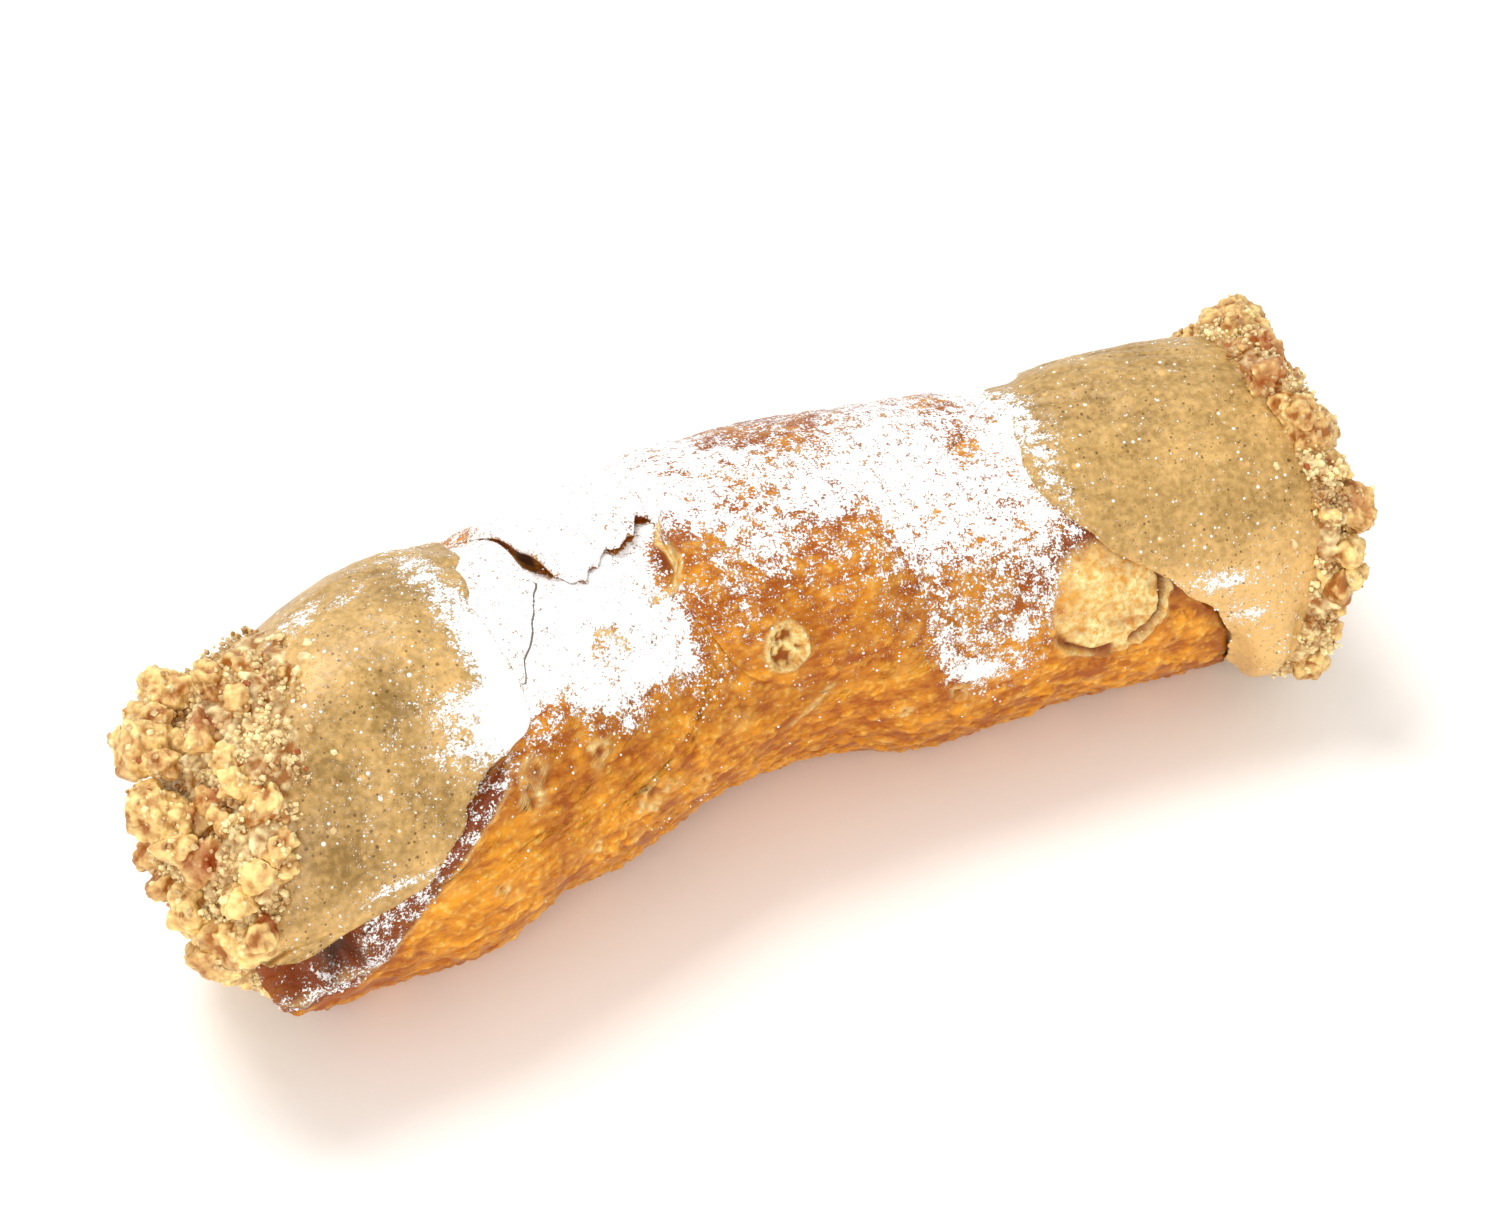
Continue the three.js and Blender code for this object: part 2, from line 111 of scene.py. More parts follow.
def fromLine(along, around, knots):
    # mm over the surface from a line through the knots, with a sign for the side, plain past its ends
    best, side = np.full(np.shape(along), 99.0), np.ones(np.shape(along))
    for k, ((s0, a0), (s1, a1)) in enumerate(zip(knots, knots[1:])):
        x, y = along - s0, (around - a0) * perDegree
        dx, dy = s1 - s0, (a1 - a0) * perDegree
        share = (x * dx + y * dy) / (dx * dx + dy * dy)
        t = limited(share)
        gap = np.hypot(x - t * dx, y - t * dy)
        past = (share < 0) & (k == 0) | (share > 1) & (k == len(knots) - 2)
        way = np.where(past, 1, np.sign(x * dy - y * dx))
        side = np.where(gap < best, way, side)
        best = np.minimum(gap, best)
    return np.clip(best, 0.001, 3) * side


scramble = {
    "cell": (73856093, 19349663, 83492791),
    "seed": 2654435761,
    "rounds": [(13, 1274126177), (15, 2246822519)],  # shift, factor
    "last": 16,
}


def cellNumber(cell, seed):  # a number from 0 to 1 that looks random, for each whole-numbered cell
    x, y, z = scramble["cell"]
    h = cell[..., 0] * x ^ cell[..., 1] * y ^ cell[..., 2] * z ^ seed * scramble["seed"]
    for shift, factor in scramble["rounds"]:
        h = (h ^ (h >> shift)) * factor & 0x7FFFFFFFFFFF
    return ((h ^ (h >> scramble["last"])) & 0xFFFFFF) / 0x1000000


def steps3d(first):  # whole-numbered steps in three directions, each from the first to 1
    steps = range(first, 2)
    return [(i, j, k) for i in steps for j in steps for k in steps]


def noise(points, size, seed):
    # numbers from -1 to 1 on a lattice of that size in mm, blended smoothly between its points
    p = points / size
    cell = np.floor(p).astype(np.int64)
    t = p - cell
    t = t * t * (3 - 2 * t)
    total = 0
    for corner in steps3d(0):
        weight = np.prod(np.where(np.array(corner) == 1, t, 1 - t), axis=-1)
        total = total + weight * cellNumber(cell + corner, seed)
    return 2 * total - 1


def noises(points, *rows):  # sum of part * noise, a row being its part, size and seed
    return sum(part * noise(points, size, seed) for part, size, seed in rows)


def nearestSeed(points, size, seed):
    # one jittered seed in each lattice cell: distance in mm to the nearest, and that seed's own number
    p = points / size
    cell = np.floor(p).astype(np.int64)
    best = np.full(p.shape[:-1], 9.0)
    owner = np.zeros(p.shape[:-1])
    for step in steps3d(-1):
        c = cell + step
        at = c + np.stack([cellNumber(c, seed + n) for n in (1, 2, 3)], -1)
        gap = np.linalg.norm(p - at, axis=-1)
        closer = gap < best
        best = np.where(closer, gap, best)
        owner = np.where(closer, cellNumber(c, seed + 4), owner)
    return best * size, owner


def domes(points, size, seed, share, width):
    # round bumps, 0 to 1 high, on that share of the seeds: sqrt(1 - (d / r)^2), r random up to width
    gap, owner = nearestSeed(points, size, seed)
    radius = width * (0.5 + 0.5 * owner / share)
    return np.where(owner < share, np.sqrt(limited(1 - (gap / radius) ** 2)), 0)


# the tube that everything is wrapped on
tube = {
    "centreShift": (1.7, 5.9),
    "radius": 17.3,
    "wall": 1.9,
    "flap": 1.5,  # thickness of the outer turn of dough
    "sunk": 0.4,
    "bow": (-0.9, -6, 60),  # at rest, at the ends, where the ends are
    "sways": [(0, 10, 1.6), (-30, 14, -1.2)],
    "arches": [(-45, 16, 2.1), (10, 10, 0.7), (-15, 11, 1.1), (58, 12, 0.4)],
    # along, around, their spreads, rise
    "swellings": [
        (-44, 90, 15, 400, 2.3), (10, 90, 10, 400, 0.7), (55, 90, 12, 400, 0.4), (-3, -40, 9, 35, 1.5),
        (-9, 120, 9, 35, -1.4), (13, 125, 7, 30, 0.9), (-57, 114, 7, 22, -0.4), (22, 55, 6, 22, 0.5),
        (-24, 40, 8, 25, 0.4), (33, 77, 6, 21, 0.9), (-30, 130, 14, 30, 0.7), (4, 122, 5, 26, -1.6),
        (-41, 130, 4, 26, 1.0), (-30, 128, 3.5, 25, -1.1),
    ],
    # around, along
    "leftMouth": [
        (-180, -57), (-130, -55), (-92, -47), (-62, -36), (-32, -32.5), (10, -34.5), (45, -33.3),
        (59, -39.2), (72, -46), (78, -51), (82, -57.5), (86, -62.4), (95, -63.4), (103, -62.7),
        (112, -61.2), (122, -59.2), (135, -57),
    ],
    "rightMouth": [
        (-180, 54), (-130, 52), (-92, 46), (-62, 40), (-30, 35), (0, 33), (27, 29.5), (50, 34),
        (66, 39.2), (78, 42.4), (86, 44.8), (100, 46.8), (112, 48), (125, 49.2), (140, 51),
    ],
    "seamAround": -30,
    "floorWall": 1.3,
}


def centreY(along):
    rest, ends, endsAt = tube["bow"]
    return rest + ends * (along / endsAt) ** 2 + humps(tube["sways"], along)


def centreZ(along):
    return tube["radius"] - tube["sunk"] + humps(tube["arches"], along)


def swollen(along, around):
    return tube["radius"] + raised(tube["swellings"], along, around)


def leftEdge(around):
    return curveThrough(tube["leftMouth"], around, 360)


def rightEdge(around):
    return curveThrough(tube["rightMouth"], around, 360)


def slant(edge, around):  # how much further apart lines along an edge lie down the tube
    step = 2  # degrees to either side
    rise = edge(around + step) - edge(around - step)
    return np.hypot(1, rise / (2 * step * math.radians(tube["radius"])))


def place(along, around, radius, lowest=0.0):  # from tube coordinates to x, y and z in mm
    turn = np.radians(around)
    along = np.broadcast_to(along, np.broadcast_shapes(np.shape(along), np.shape(turn), np.shape(radius)))
    y = centreY(along) - radius * np.sin(turn) + tube["centreShift"][1]
    z = np.maximum(lowest, centreZ(along) + radius * np.cos(turn))
    return np.stack([along + tube["centreShift"][0], y, z], -1)


# meshes
def makePiece(name, points, faces, material, replaced=(), values=None, flatFaces=False):
    mesh = bpy.data.meshes.new(name)
    faces = faces.tolist() if isinstance(faces, np.ndarray) else faces
    mesh.from_pydata((points.reshape(-1, 3) * millimetre).tolist(), [], faces)
    for label, numbers in (values or {}).items():
        layer = mesh.attributes.new(label, "FLOAT", "POINT")
        layer.data.foreach_set("value", np.ascontiguousarray(numbers, np.float32).ravel())
    mesh.validate()
    mesh.polygons.foreach_set("use_smooth", np.full(len(mesh.polygons), not flatFaces))
    mesh.materials.append(material)
    piece = bpy.data.objects.new(name, mesh)
    bpy.context.scene.collection.objects.link(piece)
    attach(piece, "root")
    if replaced:
        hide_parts(*replaced)
    print(name, sum(len(p.vertices) - 2 for p in mesh.polygons), "triangles")


def gridFaces(rows, columns, closeRows=False):
    # quads of a grid whose columns close on themselves, and its rows too where asked
    i, j = np.meshgrid(np.arange(rows if closeRows else rows - 1), np.arange(columns), indexing="ij")
    i, below, j, right = i * columns, (i + 1) % rows * columns, j, (j + 1) % columns
    return np.stack([i + j, i + right, below + right, below + j], -1).reshape(-1, 4)


def makeCapped(name, points, values, material, replaced, flip=False):
    # a grid of rings, closed by a fan of triangles round a middle point at each end
    rows, columns = points.shape[:2]
    flat = np.concatenate([points.reshape(-1, 3), points[[0, -1]].mean(1)])
    j = np.arange(columns)
    k = (j + 1) % columns
    lastRow = (rows - 1) * columns
    first = np.stack([np.full(columns, rows * columns), k, j], -1)
    last = np.stack([np.full(columns, rows * columns + 1), lastRow + j, lastRow + k], -1)
    kept = {label: np.concatenate([v.ravel(), v[0, :1], v[-1, :1]]) for label, v in values.items()}
    way = -1 if flip else 1
    faces = [f for part in (gridFaces(rows, columns), first, last) for f in part[:, ::way].tolist()]
    makePiece(name, flat, faces, material, replaced, kept)


# materials
def linear(code):  # sRGB hex to linear
    srgb = np.array([int(code[k : k + 2], 16) for k in (1, 3, 5)]) / 255
    return (*np.where(srgb <= 0.04045, srgb / 12.92, ((srgb + 0.055) / 1.055) ** 2.4), 1)


def connect(made, inputs):  # links sockets to a node's inputs, and sets values there
    for label, value in inputs.items() if isinstance(inputs, dict) else enumerate(inputs):
        if isinstance(value, bpy.types.NodeSocket):
            made.id_data.links.new(value, made.inputs[label])
        else:
            made.inputs[label].default_value = value


def node(tree, kind, inputs=(), out=0, **settings):
    # adds a node with its settings and its inputs, by name or in their order, and returns one of its outputs
    made = tree.nodes.new("ShaderNode" + kind)
    for label, value in settings.items():
        setattr(made, label, value)
    connect(made, inputs)
    return made.outputs[out]


def newMaterial(name):  # the material, node() for its tree, and its shader
    material = bpy.data.materials.new(name)
    material.use_nodes = True
    tree = material.node_tree
    return material, partial(node, tree), tree.nodes["Principled BSDF"]


def perMillimetre(size):  # scale of a pattern whose features are that many mm apart
    return 1000 / size


colours = {"out": 2, "data_type": "RGBA"}  # for a Mix node: colour 6 to colour 7 by factor 0
icingSugar = {
    "white": linear("#ffffff"),
    "pinhole": linear("#6f5a49"),  # what shows through thick sugar
    "grain": 0.28,  # mm, the coarsest of the fine noise; real grains are finer, but would not show
    "clump": 1.1,
    "bend": 0.75,  # how strongly clumps bend the odds
    "edge": (1.88, 2.04),  # from bare to white
}


def specks(add, here, spacing, widest, strength):
    # one round speck in each cell of that spacing, its radius random up to the widest, none in half of them
    near = add("TexVoronoi", {"Vector": here, "Scale": perMillimetre(spacing)})
    number = add("SeparateColor", [near.node.outputs["Color"]], "Green")
    width = widest / spacing
    radius = add("Math", [number, 2 * width, -width], operation="MULTIPLY_ADD")
    inside = add("Math", [radius, near], operation="SUBTRACT")
    return add("MapRange", [inside, -0.05, 0.05, 0, strength])


def sugarCover(add, here, density):
    # White where noise as fine as the grains is over a level that the density d sets. Coarser noise gathers
    # grains where the cover is neither full nor empty: 1.3 d + 4 d (1 - d) bend (2.2 clump - 1.1) + 2.6 fine
    # is bare below the edge's first level and white above its second.
    clump = add("TexNoise", {"Vector": here, "Scale": perMillimetre(icingSugar["clump"]), "Detail": 4})
    bend = 2.2 * icingSugar["bend"]
    clump = add("Math", [clump, bend, -bend / 2], operation="MULTIPLY_ADD")
    bare = add("Math", [1, density], operation="SUBTRACT")
    between = add("Math", [density, bare], operation="MULTIPLY")
    between = add("Math", [between, 4], operation="MULTIPLY")
    odds = add("Math", [density, 1.3], operation="MULTIPLY")
    odds = add("Math", [between, clump, odds], operation="MULTIPLY_ADD")
    scale = perMillimetre(icingSugar["grain"])
    fine = add("TexNoise", {"Vector": here, "Scale": scale, "Detail": 3, "Roughness": 0.75})
    over = add("Math", [fine, 2.6, odds], operation="MULTIPLY_ADD")
    return add("MapRange", [over, *icingSugar["edge"]])


def friedPastry():
    # Wheat dough fried in oil: glossy amber crust with fine bubbles whose crests get a painted yellow
    # highlight, redder and darker where it is thin or folded, paler where a blister burst. Shade under the
    # flap's rim, in its gaps, in the mouth's hollows and in the fine crack is painted in as brown, dark brown
    # and grey. Icing sugar lies on it and dulls it.
    material, add, shader = newMaterial("fried_pastry")
    here = add("TexCoord", out="Object")
    brownedAndShaded, paled, sugar, crust, hollowShade, crack = (
        add("Attribute", out="Fac", attribute_name=label)
        for label in ("brownedAndShaded", "paled", "sugar", "crust", "hollowShade", "crack")
    )
    drawn = add("VectorMath", [here, (0.4, 1, 1)], operation="MULTIPLY")  # fibres run down the tube
    broad, fibre, torn, pores = (
        add("TexNoise", {"Vector": at, "Scale": perMillimetre(size), "Detail": detail, "Roughness": rough})
        for at, size, detail, rough in
        ((here, 5, 6, 0.65), (drawn, 1.1, 6, 0.7), (here, 0.8, 5, 0.7), (here, 0.6, 3, 0.5))
    )
    broad = add("MapRange", [broad, 0.34, 0.66, -0.3, 0.3])
    fibre = add("MapRange", [fibre, 0.3, 0.7, -0.5, 0.5])
    crust = add("Math", [crust, broad], operation="ADD")
    crust = add("Math", [crust, fibre], operation="ADD", use_clamp=True)
    base = add("Mix", {0: crust, 6: linear("#a45406"), 7: linear("#eca024")}, **colours)
    # bubble crests: they raise the bump, and give a painted yellow highlight in the colour
    crestsAndHighlight = add("TexVoronoi", {"Vector": here, "Scale": perMillimetre(0.75)}, feature="SMOOTH_F1")
    crestsAndHighlight = add("MapRange", [crestsAndHighlight, 0.42, 0.12, 0, 0.8])
    crestsAndHighlight = add("Math", [crestsAndHighlight, crust], operation="MULTIPLY")
    torn = add("MapRange", [torn, 0.36, 0.6])
    crumb = add("Mix", {0: torn, 6: linear("#e8a63c"), 7: linear("#fff5b2")}, **colours)
    thick = add("MapRange", [sugar, 0.7, 0.9])
    cover = sugarCover(add, here, sugar)
    # the fine crack is a thin painted grey line: painted shade in a groove too fine for the mesh
    line = add("Math", [crack], operation="ABSOLUTE")
    line = add("MapRange", [line, 0.16, 0.05])
    layers = [
        # the browned colour is real browning, and also painted shade under the flap and in gaps
        (crestsAndHighlight, linear("#ffd068")), (brownedAndShaded, linear("#7a3408")), (paled, crumb),
        (thick, icingSugar["pinhole"]), (cover, icingSugar["white"]),
    ]
    for spacing, widest in ((0.7, 0.17), (1.3, 0.3)):
        pinhole = add("Math", [specks(add, here, spacing, widest, 0.85), thick], operation="MULTIPLY")
        layers.append((pinhole, icingSugar["pinhole"]))
    # the last dark brown is painted shade inside deep gaps under the flap and in the hollow under the cream
    for part, colour in [*layers, (line, linear("#6b625c")), (hollowShade, linear("#4a3022"))]:
        base = add("Mix", {0: part, 6: base, 7: colour}, **colours)
    height = pores
    for part, much in ((crestsAndHighlight, 1.2), (fibre, 0.6), (cover, 0.8)):
        height = add("Math", [part, much, height], operation="MULTIPLY_ADD")
    height = add("Math", [torn, paled, height], operation="MULTIPLY_ADD")
    connect(shader, {
        "Base Color": base, "Roughness": add("MapRange", [cover, 0, 1, 0.34, 0.9]),
        "Normal": add("Bump", {"Height": height, "Strength": 0.7, "Distance": 0.00018}),
        "IOR": 1.46, "Specular IOR Level": 0.28,
    })
    return material


def hazelnutCream():
    # Cream whipped with ground hazelnut: a smooth greenish-beige paste with a soft wet gloss, a slightly
    # grainy skin and many fine dark specks of nut skin.
    material, add, shader = newMaterial("hazelnut_cream")
    here = add("TexCoord", out="Object")
    # the light attribute is painted light and shade: lighter on raised relief, on the lower front at the
    # right and in listed patches, darker in grooves
    sugar, toneAndShade = (add("Attribute", out="Fac", attribute_name=label) for label in ("sugar", "light"))
    for size, detail, strength in ((4, 6, 0.12), (0.7, 5, 0.2)):  # streaks of mixing, and ground nut
        mottle = add("TexNoise", {"Vector": here, "Scale": perMillimetre(size), "Detail": detail})
        mottle = add("MapRange", [mottle, 0.35, 0.65, -strength, strength])
        toneAndShade = add("Math", [toneAndShade, mottle], operation="ADD", use_clamp=True)
    base = add("Mix", {0: toneAndShade, 6: linear("#8c6c32"), 7: linear("#e2b974")}, **colours)
    # ground skins, fine and coarse, then grains of nut, then of sugar: mm apart, widest, strength, colour
    bits = [
        (0.36, 0.12, 0.5, "#6a4718"), (0.62, 0.17, 0.75, "#5c3d16"), (1.3, 0.22, 0.9, "#5c3d16"),
        (2.1, 0.4, 0.6, "#ecbe6c"), (1.05, 0.22, 0.9, "#ffffff"),
    ]
    for spacing, widest, strength, code in bits:
        bit = specks(add, here, spacing, widest, strength)
        base = add("Mix", {0: bit, 6: base, 7: linear(code)}, **colours)
    cover = sugarCover(add, here, sugar)
    grain = add("TexNoise", {"Vector": here, "Scale": perMillimetre(0.55), "Detail": 4})
    height = add("Math", [cover, 0.9, grain], operation="MULTIPLY_ADD")
    connect(shader, {
        "Base Color": add("Mix", {0: cover, 6: base, 7: icingSugar["white"]}, **colours),
        "Roughness": add("MapRange", [cover, 0, 1, 0.4, 0.9]),
        "Normal": add("Bump", {"Height": height, "Strength": 0.6, "Distance": 0.00016}),
        "Subsurface Weight": 0.12, "Subsurface Radius": (1.0, 0.7, 0.4), "Subsurface Scale": 0.001,
        "IOR": 1.45,
    })
    return material


def choppedNut(name, dark, light, toast):
    # Toasted hazelnut, chopped: oily golden flesh that breaks into grainy faces, each piece its own tone,
    # with painted shade, deep brown, between the grains and painted light on their tops, and red-brown where
    # it toasted longest or the skin side shows.
    material, add, shader = newMaterial(name)
    here = add("TexCoord", out="Object")
    toneAndShade, toasted = (add("Attribute", out="Fac", attribute_name=label) for label in ("toneAndShade", "toasted"))
    mottle = add("TexNoise", {"Vector": here, "Scale": perMillimetre(1.0), "Detail": 5})
    mottle = add("MapRange", [mottle, 0.35, 0.65, -0.3, 0.3])
    toneAndShade = add("Math", [toneAndShade, mottle], operation="ADD", use_clamp=True)
    base = add("Mix", {0: toneAndShade, 6: linear(dark), 7: linear(light)}, **colours)
    grain = add("TexNoise", {"Vector": here, "Scale": perMillimetre(0.5), "Detail": 3})
    connect(shader, {
        "Base Color": add("Mix", {0: toasted, 6: base, 7: linear(toast)}, **colours),
        "Normal": add("Bump", {"Height": grain, "Strength": 0.8, "Distance": 0.00025}),
        "Roughness": 0.42, "Subsurface Weight": 0.15, "Subsurface Radius": (1.0, 0.6, 0.25),
        "Subsurface Scale": 0.0006, "IOR": 1.47,
    })
    return material


def powderedSugar():
    # Icing sugar: fine-milled white grains, fully matt, that let a little light through.
    material, add, shader = newMaterial("icing_sugar")
    here = add("TexCoord", out="Object")
    soft = add("TexNoise", {"Vector": here, "Scale": perMillimetre(2), "Detail": 2})
    connect(shader, {
        "Base Color": add("Mix", {0: soft, 6: linear("#f6f3ee"), 7: icingSugar["white"]}, **colours),
        "Roughness": 0.9, "Subsurface Weight": 0.15, "Subsurface Scale": 0.0005,
    })
    return material


finishes = {
    "pastry": friedPastry(),
    "cream": hazelnutCream(),
    "chunks": choppedNut("hazelnut_chunks", "#a2601a", "#ffe094", "#a04410"),
    "crumb": choppedNut("hazelnut_crumb", "#a0661e", "#ffeeb6", "#a04c14"),
    "sugar": powderedSugar(),
}
print("materials made")


# the fried shell; share runs from 0 at its left mouth to 1 at its right one
shell = {
    "stations": 208,  # rings down the tube
    # more of them where the flap's edge turns steeply down, and over the burst blister: from, to, how many
    "closeUps": [(0.315, 0.38, 46), (0.82, 0.975, 46)],
    "step": 1.05,  # degrees between columns where they show, and where they show less
    "hiddenStep": 2.6,
    "hidden": (96, 196),
    "innerStations": 22,
    "lipSteps": 9,
    "lip": 0.95,  # how far the wall's end is rounded
    "drawn": [0.4, 1, 1],  # fibres are drawn out down the tube
    "flapEdge": [  # share, around
        (-0.2, -62), (0, -54), (0.05, -42), (0.078, -22), (0.09, -11), (0.102, -1.5), (0.139, 6.5),
        (0.165, 9.5), (0.19, 11), (0.24, 7), (0.275, 7), (0.295, 3), (0.308, -1.5), (0.332, 2), (0.34, 10),
        (0.348, 24), (0.356, 36), (0.366, 46), (0.382, 55.5), (0.42, 64), (0.475, 71), (0.52, 75.5),
        (0.56, 76), (0.61, 69), (0.66, 56), (0.73, 36), (0.80, 17), (0.88, -2), (1, -32), (1.2, -60),
    ],
    # thickness of the flap's rim, and degrees over which it reaches its full thickness
    "rim": [
        (0, 0.05), (0.06, 0.15), (0.09, 0.7), (0.13, 0.8), (0.16, 0.5), (0.32, 0.55), (0.335, 0.3),
        (0.36, 0.15), (0.4, 0.25), (0.5, 0.35), (0.6, 0.3), (0.7, 0.25), (0.8, 0.1), (1, 0.1),
    ],
    "run": [(0, 30), (0.1, 24), (0.15, 14), (0.5, 16), (0.62, 24), (0.75, 40), (1, 40)],
    "melts": (70, 170),  # degrees behind its rim over which the flap melts into the wall
    "lifts": [
        (0.112, 0.018, 2.0), (0.2, 0.02, 0.3), (0.265, 0.016, 1.0), (0.304, 0.013, 1.1), (0.41, 0.03, 0.1),
    ],
    "liftFade": (2, 22),
    "pockets": [(0.11, 0.03, 8), (0.25, 0.04, 4)],
    "pocket": 1.2,
    "deepGap": (1.2, 1.8),  # a gap that high and higher is painted dark inside as its shade, and a lower one only painted brown
    "rimShadeLine": (0.13, 0.18, 0.72, 0.8),  # where the rim's own edge gets a painted brown shade line
    "ragged": [(1.8, 0.7, 31), (2.0, 2.2, 32)],  # torn edge: degrees, size, seed
    "raggedPart": (0.17, 0.31),
    # under the notch the flap sticks out to the left: along, spread, shift, between which degrees
    "overhang": (-10.8, 5, -2.4, (18, 31), (44, 60)),
    "notch": [(-11.4, 4), (-12.4, 9), (-11.8, 14), (-11.7, 21), (-12.9, 26.5), (-15.8, 28)],
    # painted shade in the notch's hollow
    "notchShade": [(-13.0, 17.5, 0.8, 4.5, 0.9)],
    # a fine crack, cut shallow and painted grey as its shade
    "crack": [
        (-26.0, 6), (-26.5, 9), (-27.4, 12.5), (-27.9, 16), (-28.7, 20), (-29.3, 24.5), (-30.9, 29.5),
        (-31.5, 36),
    ],
    "crusts": [(-36, 90, 12, 13, 0.35), (-54, 114, 6, 12, -0.45)],  # more and less golden crust
    "shades": [  # browner places
        (-23, 61, 9, 11, 0.25), (18, 55, 8, 14, 0.35), (-38, 70, 6, 9, 0.12), (33, 50, 6, 7, 0.7),
        (38, 62, 3, 12, 0.5), (5, 10, 8, 14, 0.2), (8, -35, 10, 18, 0.35), (-3, 40, 8, 18, 0.1),
        (-9, 74, 2.5, 4, 0.3), (1, 79, 4, 2.5, 0.35),
    ],
    # the left mouth's edge is rolled in, as far as this line
    "fold": [
        (-56.0, 122), (-54.4, 109), (-50.8, 100), (-48.0, 90), (-45.2, 82.5), (-41.3, 73), (-38.8, 68),
        (-36.7, 61), (-35.2, 53.5), (-33.8, 46), (-33.5, 40),
    ],
    # below the roll's end the mouth is pressed in like a spoon
    "spoon": {"along": (-55.2, -53.6), "around": (78, 84, 96, 102), "depth": 2.4, "rim": (102.5, 1.0)},
    "knob": [(-53.0, 93, 1.5, 7, 1.1)],
    "lump": [(-57.2, 98, 0.8, 3, 1)],  # a lump of sugared dough in the spoon
    "spoonSugar": [(-56, 103, 2.5, 4, 0.16)],
    "mouthShadow": [(-56.0, 93, 1.5, 4, 1)],  # painted shade: a dark hollow where the roll ends under the cream
}


def spoonDepth(along, around):
    spoon = shell["spoon"]
    top, topEnd, bottom, bottomEnd = spoon["around"]
    across = ease(top, topEnd, around) * fade(bottom, bottomEnd, around)
    return spoon["depth"] * across * fade(*spoon["along"], along)


def flapAround(share):  # the angle of the flap's rim, ragged on one stretch
    start, end = shell["raggedPart"]
    part = ease(start - 0.02, start, share) * fade(end, end + 0.02, share)
    line = np.stack([share * 70, share * 0, share * 0], -1)
    return curveThrough(shell["flapEdge"], share) + part * noises(line, *shell["ragged"])


def flapTop(share, behind):
    # the flap's top over the layer below: its rim, its full thickness further back, and the curl of its edge
    grown = ease(0, curveThrough(shell["run"], share), behind)
    full = mix(curveThrough(shell["rim"], share), tube["flap"], grown)
    curl = humps(shell["lifts"], share) * fade(*shell["liftFade"], behind)
    return full * fade(*shell["melts"], behind) + curl


blisters = {
    "burst": {"along": 32.0, "around": 71, "length": 7.0, "turn": 21.5},
    "ring": {"along": -3.9, "around": 58, "radius": 2.2},
    # along, around, radius, depth
    "pits": [
        (-21, 88, 1.25, 0.7), (-14.5, 97, 0.8, 0.4), (-39, 92, 0.55, 0.6), (14.7, 93, 0.8, 0.7),
        (-33.5, 60, 1.1, 0.45), (-34.5, 69, 0.9, 0.4), (-26.3, 63, 0.8, 0.35), (-22, 37, 1.5, 0.3),
        (9, 99, 0.6, 0.3), (-28, 97, 0.6, 0.4), (40, 96, 0.5, 0.3),
    ],
    "scar": [(0.8, 78), (-0.4, 82.5), (-1.6, 86), (-3.5, 92)],
}


def burstBlister(along, around, points, height, brownedAndShaded, paled):
    # an oval whose skin is gone: a pale fibrous floor, a gap under its lower edge that is painted brown as
    # its shade, and a thin raised rim
    burst = blisters["burst"]
    x, y = (along - burst["along"]) / burst["length"], (around - burst["around"]) / burst["turn"]
    out = np.hypot(x, y) * (1 + noises(points, (0.09, 3.5, 21), (0.05, 1.2, 22)))  # 1 on its rim
    lower = ease(-0.35, 0.45, y + 0.5 * x)
    within = fade(0.93, 0.98, out)
    fibres = noise(points * [0.45, 1, 1], 0.8, 23)
    floor = -0.3 + 0.25 * fibres + 0.25 * noise(points, 2.2, 24) + 0.3 * domes(points, 1.1, 26, 0.6, 0.6)
    height = mix(height, mix(0.1 + 0.6 * floor, floor, lower), within)
    gap = bell(out - 0.925 - 0.03 * noise(points, 1.1, 33), 0.032)
    gap = gap * lower * ease(-0.4, 0.1, noise(points, 2.2, 29) + 0.25)
    rim = bell(out - 1.0, 0.028) * mix(0.3, 1, lower)
    height = height - 0.7 * gap + rim * (0.35 + 0.45 * noise(points, 0.9, 25))
    crumbly = 0.78 + 0.4 * fibres + 0.4 * noise(points, 1.6, 27) - 0.4 * (1 - lower) * ease(0.5, 0.9, out)
    paled = limited(mix(paled, np.clip(crumbly, 0.1, 1), within)) * limited(1 - 1.7 * gap)
    paled = paled + rim * limited(0.6 + 0.6 * noise(points, 1.2, 28))
    # the gap under the lower edge is painted brown as shade
    brownedAndShaded = mix(brownedAndShaded, 0.1 * noise(points, 2, 30), within) + 1.2 * gap + 0.2 * bell(out - 1.12, 0.05)
    return height, brownedAndShaded, paled


def ringBlister(along, around, points, height, brownedAndShaded, paled):
    # a round broken bubble: a pale raised rim round a sunken middle with pale flakes in it
    ring = blisters["ring"]
    reach = np.hypot(along - ring["along"], (around - ring["around"]) * perDegree)
    reach = reach * (1 + 0.08 * noise(points, 1.6, 27)) / ring["radius"]  # 1 on its rim
    rim, within = bell(reach - 1, 0.1), fade(0.78, 0.88, reach)
    flakes = domes(points, 0.8, 37, 0.9, 0.6)
    shows = ease(0.05, 0.35, flakes)
    height = height + 0.55 * rim + 0.2 * fade(0.9, 1.5, reach) - 0.75 * fade(0.7, 0.92, reach)
    height = height + within * 0.5 * flakes
    paled = paled + 1.1 * rim + within * (shows - 0.1)
    brownedAndShaded = brownedAndShaded + within * 0.6 * (1 - shows) + 0.3 * bell(reach - 1.2, 0.08)
    return height, brownedAndShaded, paled, reach


